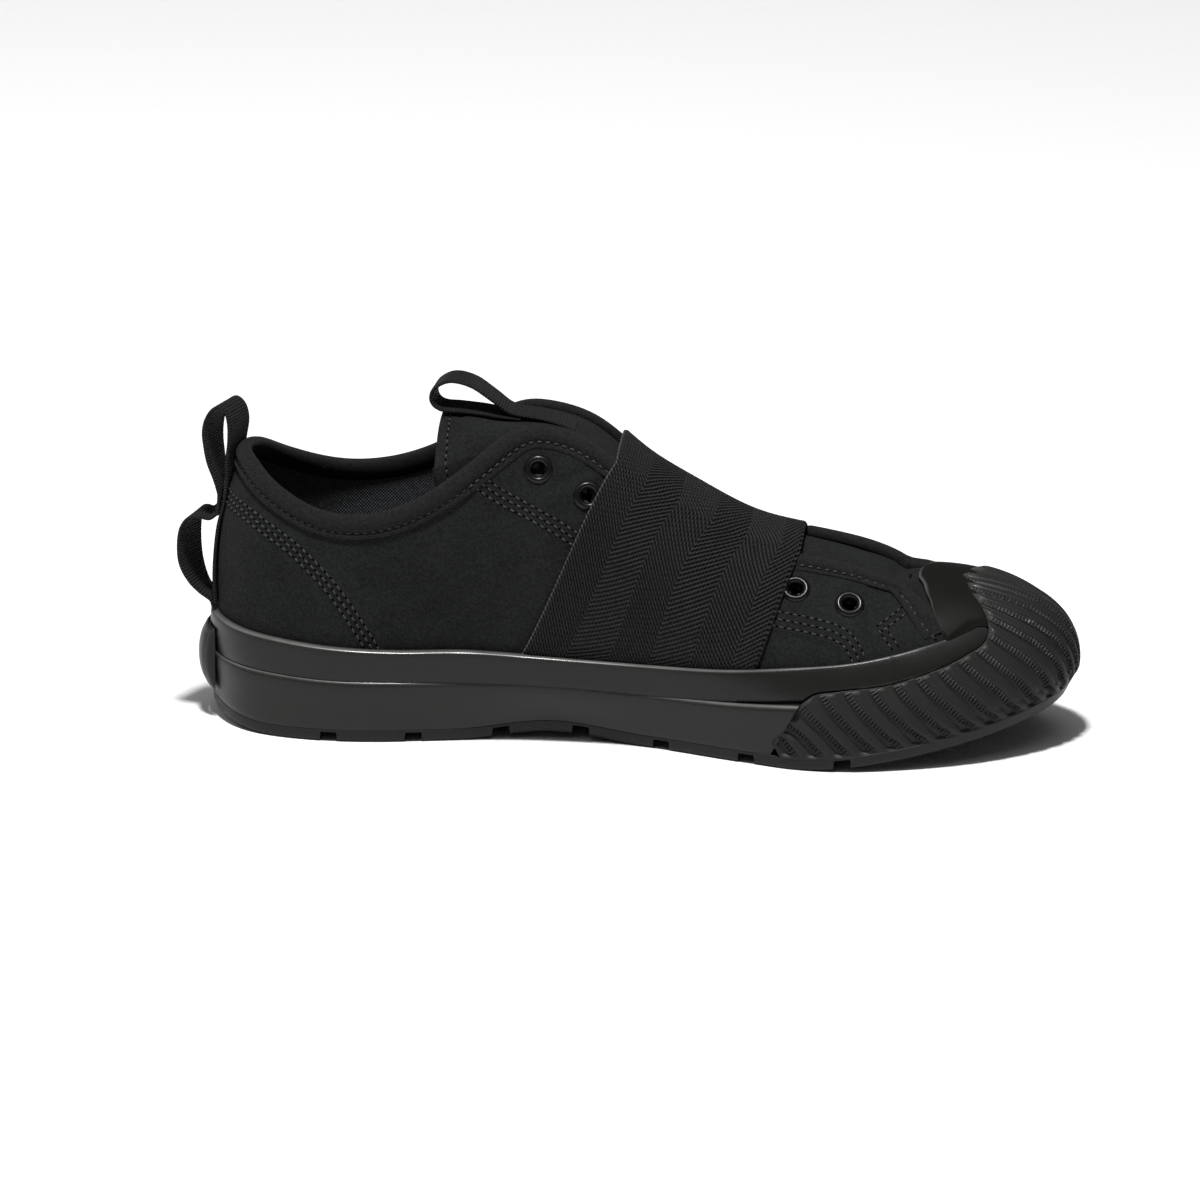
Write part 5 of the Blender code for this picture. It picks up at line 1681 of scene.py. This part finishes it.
def band_grid(offsets):
    """Face of the elastic, a row for each offset over the canvas, evenly across the band."""
    under = [bare(*spot(e.x, e.z, side)) for e in EYELETS[1:3] for side in (True, False)]
    shares = np.linspace(0.0, 1.0, 60)
    held = smooth(shares, 0.0, 0.09)
    rear = BAND_REAR_LOW + (BAND_REAR_TOP - BAND_REAR_LOW) * bowed(shares, BAND_REAR_BOW)
    front = BAND_FRONT_LOW + (BAND_FRONT_TOP - BAND_FRONT_LOW) * bowed(shares, BAND_FRONT_BOW)
    rows = []
    for each, off in zip(np.linspace(0.0, 1.0, len(offsets)), offsets):
        sides, places = [], []
        for side in (True, False):
            u = u_at(rear + (front - rear) * each, side)
            start = share_at(u, FOXING_TOP(SHAPE.at(u)[:, 0]) - 1.8)
            v = start + (1.0 - start) * shares
            near = np.min([np.linalg.norm(bare(u, v) - p, axis=-1) for p in under], axis=0)
            lift = off * (0.45 + 0.55 * held) + np.exp(-(near / 13.0) ** 2)
            sides.append(skin(u, v, lift))
            places.append(u[-1])
        rows.append(over_throat(*sides, places, 0.24, 40))
    return np.array(rows)


class SNEAKER_OT_band(PieceOperator, bpy.types.Operator):
    """Wide elastic over the instep, from foxing to foxing"""

    bl_idname = "sneaker.band"
    bl_label = "Build the elastic band"

    def execute(self, context):
        across = np.linspace(0.0, 1.0, 72)
        low = np.full(len(across), GAP + BINDING_STEP + 0.1)
        edge = np.minimum(across, 1.0 - across)
        outer = band_grid(low + BAND_THICKNESS * (0.35 + 0.65 * smooth(edge, 0.0, 0.014)))
        inner = band_grid(low)
        build = Build()
        front = build.add_grid(outer, self.weave_places(outer))
        back = build.add_grid(inner, self.weave_places(inner))
        build.close_rims(front, back)
        band = build.make("elastic_band_weave", [elastic_material()], "band_elastic", ("elastic_band",), 70.0)
        return {"FINISHED"}

    @staticmethod
    def weave_places(points):
        """Across the band evenly, and along it from the middle of the instep."""
        wide = np.linalg.norm(np.diff(points, axis=0), axis=-1).sum(0).mean()
        steps = np.linalg.norm(np.diff(points, axis=1), axis=-1)
        run = np.concatenate([np.zeros((len(points), 1)), np.cumsum(steps, 1)], 1)
        run = run - run[:, points.shape[1] // 2][:, None]
        across = np.linspace(0.0, wide, len(points))
        run = run + 300.0 - 0.22 * across[:, None] * np.tanh(run / 30.0)
        return np.stack([np.broadcast_to(across[:, None], run.shape), run], -1)

    @staticmethod
    def width(points):
        return float(np.linalg.norm(np.diff(points, axis=0), axis=-1).sum(0).max()) * MM

    @staticmethod
    def length(points):
        return float(np.linalg.norm(np.diff(points, axis=1), axis=-1).sum(1).max()) * MM

    @staticmethod
    def area(points):
        a, b = points[1:, :-1] - points[:-1, :-1], points[:-1, 1:] - points[:-1, :-1]
        return float(np.linalg.norm(np.cross(a, b), axis=-1).sum()) * MM * MM


def add_tape(build, points, width, count):
    """Webbing bent along a line in the shoe's middle plane and turned about the upright."""
    line = open_spline([(p.x, p.z, p.turn) for p in points], count)
    run = unit(np.gradient(line[:, :2], axis=0))
    turn = np.radians(line[:, 2])
    wide = np.column_stack([np.sin(turn), np.cos(turn), np.zeros(count)])
    thick = np.column_stack([-run[:, 1], np.zeros(count), run[:, 0]])
    middle = np.column_stack([line[:, 0], np.zeros(count), line[:, 1]])
    half = width / 2.0
    deep = TAPE_THICKNESS / 2.0
    profile = [(-half + 0.1, -0.6 * deep), (-half + 0.5, -deep)]
    profile += [(s, -deep) for s in np.linspace(-half + 1.2, half - 1.2, 9)]
    profile += [(half - 0.5, -deep), (half - 0.1, -0.6 * deep), (half, 0.0)]
    profile += [(-a, -b) for a, b in profile[:-1]] + [(-half, 0.0)]
    rings = np.stack([middle + wide * a + thick * b for a, b in profile], 1)
    add_sweep(build, rings)


class SNEAKER_OT_loops(PieceOperator, bpy.types.Operator):
    """Pull loops of webbing at heel and tongue"""

    bl_idname = "sneaker.loops"
    bl_label = "Build the pull loops"

    def execute(self, context):
        material = tape_material()
        for name, points, width, count in (
            ("heel_loop_upper", HEEL_LOOP_UPPER, TAPE_WIDTH, 230),
            ("heel_loop_lower", HEEL_LOOP_LOWER, TAPE_WIDTH, 110),
            ("tongue_loop", TONGUE_LOOP, TAPE_WIDTH - 2.0, 180),
        ):
            build = Build()
            add_tape(build, points, width, count)
            build.make(name + "_tape", [material], "webbing", (name,), 70.0)
        return {"FINISHED"}


class SNEAKER_OT_eyelets(PieceOperator, bpy.types.Operator):
    """Rolled enamelled rings with their barrels"""

    bl_idname = "sneaker.eyelets"
    bl_label = "Build the eyelets"

    def execute(self, context):
        profile = np.array([
            (EYELET_HOLE - 0.35, -2.6), (EYELET_HOLE - 0.25, 0.2), (EYELET_HOLE, 0.8),
            (EYELET_HOLE + 0.45, 1.2), (EYELET_HOLE + 1.0, 1.38), (EYELET_HOLE + 1.5, 1.3),
            (EYELET_RADIUS - 0.45, 0.95), (EYELET_RADIUS - 0.12, 0.55), (EYELET_RADIUS, 0.2),
            (EYELET_RADIUS - 0.1, -0.2),
        ])
        angle = np.linspace(0.0, 2.0 * math.pi, 41)
        material = metal_material()
        for inner, side in ((True, "inner"), (False, "outer")):
            for i, eyelet in enumerate(EYELETS):
                u, v = spot(eyelet.x, eyelet.z, inner)
                out = normal(u, v)
                ahead = unit(bare(u + 1.0, v) - bare(u - 1.0, v))
                over = np.cross(out, ahead)
                spin = np.cos(angle)[:, None] * ahead + np.sin(angle)[:, None] * over
                rings = bare(u, v) + spin[:, None] * profile[None, :, :1] + out * profile[None, :, 1:]
                build = Build()
                build.add_grid(rings, places_of(rings))
                name = "eyelet_%s_%d" % (side, i + 1)
                build.make(name + "_ring", [material], "eyelet_metal", (name,), 80.0)
        return {"FINISHED"}


def add_threads(build, points, out, phase=0.0, sink=0.1):
    """Short threads along a line of points with their directions out of the cloth."""
    size = sizes()
    pitch, length, width = size.stitch_pitch / MM, size.stitch_length / MM, size.thread_width / MM
    run = run_length(points)
    at = np.arange(pitch * (0.5 + phase), run[-1], pitch)

    def read(rows, where):
        return np.column_stack([np.interp(where, run, rows[:, k]) for k in range(3)])

    middle, out = read(points, at), unit(read(out, at))
    ahead = unit(read(points, at + 0.5 * length) - read(points, at - 0.5 * length))
    side = np.cross(out, ahead)
    angle = np.linspace(0.0, 2.0 * math.pi, 7)[:-1]
    rings = []
    for s, r in ((-0.5, 0.25), (-0.34, 0.85), (0.0, 1.0), (0.34, 0.85), (0.5, 0.25)):
        lift = [math.sin(a) * r * width * 0.5 - 0.9 * width * (1.0 - r) for a in angle]
        aside = [math.cos(a) * r * width * 0.55 for a in angle]
        line = middle + ahead * (s * length)
        rings.append(np.stack([line + side * a + out * b for a, b in zip(aside, lift)], 1))
    index = build.add_points(np.stack(rings, 1))
    ring = np.concatenate([index, index[..., :1]], -1)
    quads = np.stack([ring[:, :-1, :-1], ring[:, 1:, :-1], ring[:, 1:, 1:], ring[:, :-1, 1:]], -1)
    build.add_quads(quads, np.zeros(quads.shape + (2,)))
    # Flat black discs between the stitches: painted shade of the needle holes.
    shade_disc = [(math.cos(a) * 0.52, math.sin(a) * 0.36) for a in angle]
    centre = middle + ahead * (pitch * 0.5) - out * (sink - 0.05)
    rim = build.add_points(np.stack([centre + ahead * a + side * b for a, b in shade_disc], 1))
    halves = np.stack([rim[:, [0, 1, 2, 3]], rim[:, [0, 3, 4, 5]]], 1)
    build.add_quads(halves, np.zeros(halves.shape + (2,)), 1)


def add_stitches(build, path, height, phase=0.0):
    """Sewn row along a line of places and shares on the canvas."""
    place = even(np.column_stack([bare(path[:, 0], path[:, 1]), path]), 0.5)[:, 3:]
    out = normal(place[:, 0], place[:, 1])
    lift = canvas_relief(place[:, 0], place[:, 1]) + height
    add_threads(build, bare(place[:, 0], place[:, 1]) + out * lift[:, None], out, phase, height)


def side_path(spots, inner, shift=0.0):
    """Places and shares of a sewn line on one side, moved across itself."""
    line = open_spline([(s.x, s.z) for s in spots], 60)
    ahead = unit(np.gradient(line, axis=0))
    moved = line + np.column_stack([-ahead[:, 1], ahead[:, 0]]) * shift
    u, v = spot(moved[:, 0], moved[:, 1], inner)
    return np.column_stack([u, v])


class SNEAKER_OT_stitches(PieceOperator, bpy.types.Operator):
    """Sewn rows of the bound edge, the panels and the tongue"""

    bl_idname = "sneaker.stitches"
    bl_label = "Build the stitching"

    def execute(self, context):
        row = sizes().row_spacing / MM
        build = Build()
        path = bound_path()
        step = edge_frame(path)[-1]
        add_stitches(build, (path + step * 4.85)[8:-8], 0.55)
        for inner in (True, False):
            for k in (-1, 0, 1):
                add_stitches(build, side_path(COUNTER_SEAM, inner, k * row), 0.12, 0.3 * k)
                add_stitches(build, side_path(EYESTAY_SEAM, inner, k * row), 0.12, 0.3 * k)
            for k in (-0.5, 0.5):
                for spots in (STRIP_REAR[:2], STRIP_REAR[1:], STRIP_FRONT):
                    add_stitches(build, side_path(spots, inner, k * row), 0.12, 0.3 * k)
        face, out = tongue_face()
        line = -1 - np.argmin(np.abs(run_length(face[::-1, face.shape[1] // 2]) - 4.2))
        add_threads(build, face[line] + out[line] * 0.1, out[line])
        build.make("sewn_rows", [thread_material(), hole_material()], "upper_canvas", (), 80.0)
        return {"FINISHED"}


class SNEAKER_OT_stage(PieceOperator, bpy.types.Operator):
    """Pale floor, soft lights and camera"""

    bl_idname = "sneaker.stage"
    bl_label = "Set the stage"

    def execute(self, context):
        scene = bpy.context.scene
        self.lay_floor(scene)
        self.hang_lamps(scene)
        self.set_camera(scene)
        scene.view_settings.view_transform = "Standard"
        return {"FINISHED"}

    @staticmethod
    def lay_floor(scene):
        half = FLOOR_HALF
        mesh = bpy.data.meshes.new("studio_floor")
        rim = [(-half, -half, 0), (half, -half, 0), (half, half, 0), (-half, half, 0)]
        mesh.from_pydata(rim, [], [(0, 1, 2, 3)])
        floor = bpy.data.objects.new("studio_floor", mesh)
        scene.collection.objects.link(floor)
        base = tuple(colours().floor)
        material, n, shader = new_material("floor_paper", base, 0.9, 0.1)
        paper = n.noise(220.0, 2.0)
        n.feed(shader.inputs["Base Color"], n.tint(base, n.math("MULTIPLY_ADD", paper, 0.02, 0.99)))
        mesh.materials.append(material)

    @staticmethod
    def hang_lamps(scene):
        world = bpy.data.worlds.new("studio")
        world.use_nodes = True
        sky = world.node_tree.nodes["Background"]
        sky.inputs["Color"].default_value = (1.0, 1.0, 1.0, 1.0)
        sky.inputs["Strength"].default_value = WORLD_STRENGTH
        scene.world = world
        for each in LAMPS:
            light = bpy.data.lights.new(each.name, "AREA")
            light.shape = "RECTANGLE"
            light.size, light.size_y = each.size
            light.energy = each.power
            lamp = bpy.data.objects.new(each.name, light)
            lamp.location = each.place
            lamp.rotation_euler = (Vector(each.aim) - Vector(each.place)).to_track_quat("-Z", "Y").to_euler()
            lamp.visible_camera = False
            scene.collection.objects.link(lamp)

    @staticmethod
    def set_camera(scene):
        around, above = math.radians(CAMERA_AROUND), math.radians(CAMERA_ABOVE)
        aim = Vector(CAMERA_AIM) * MM + Vector(SHIFT) * MM
        level = math.cos(above)
        back = Vector((math.sin(around) * level, -math.cos(around) * level, math.sin(above)))
        view = bpy.data.cameras.new("camera")
        view.sensor_width = SENSOR_WIDTH
        view.lens = SENSOR_WIDTH * CAMERA_AWAY / PICTURE_WIDTH
        camera = bpy.data.objects.new("camera", view)
        camera.location = aim + back * CAMERA_AWAY
        camera.rotation_euler = (-back).to_track_quat("-Z", "Y").to_euler()
        scene.collection.objects.link(camera)
        scene.camera = camera


PIECES = (
    SNEAKER_OT_outsole, SNEAKER_OT_sidewall, SNEAKER_OT_foxing, SNEAKER_OT_bumper, SNEAKER_OT_cap,
    SNEAKER_OT_patch, SNEAKER_OT_upper, SNEAKER_OT_binding, SNEAKER_OT_tongue, SNEAKER_OT_insole,
    SNEAKER_OT_band, SNEAKER_OT_loops, SNEAKER_OT_eyelets, SNEAKER_OT_stitches, SNEAKER_OT_stage,
)


class SNEAKER_PT_pieces(bpy.types.Panel):
    """Pieces of the sneaker, with their sizes and colours"""

    bl_idname = "SNEAKER_PT_pieces"
    bl_label = "Slip-on sneaker"
    bl_space_type = "VIEW_3D"
    bl_region_type = "UI"
    bl_category = "Sneaker"

    def draw(self, context):
        for piece in PIECES:
            self.layout.operator(piece.bl_idname)
        for group in (context.scene.sneaker_sizes, context.scene.sneaker_colours):
            box = self.layout.box()
            for key in group.__annotations__:
                box.prop(group, key)


CLASSES = (SneakerSizes, SneakerColours, *PIECES, SNEAKER_PT_pieces)


def register():
    for each in CLASSES:
        bpy.utils.register_class(each)
    bpy.types.Scene.sneaker_sizes = bpy.props.PointerProperty(type=SneakerSizes)
    bpy.types.Scene.sneaker_colours = bpy.props.PointerProperty(type=SneakerColours)


def unregister():
    del bpy.types.Scene.sneaker_colours
    del bpy.types.Scene.sneaker_sizes
    for each in reversed(CLASSES):
        bpy.utils.unregister_class(each)


def main():
    register()
    for piece in PIECES:
        family, name = piece.bl_idname.split(".")
        getattr(getattr(bpy.ops, family), name)()


if __name__ == "__main__":
    main()
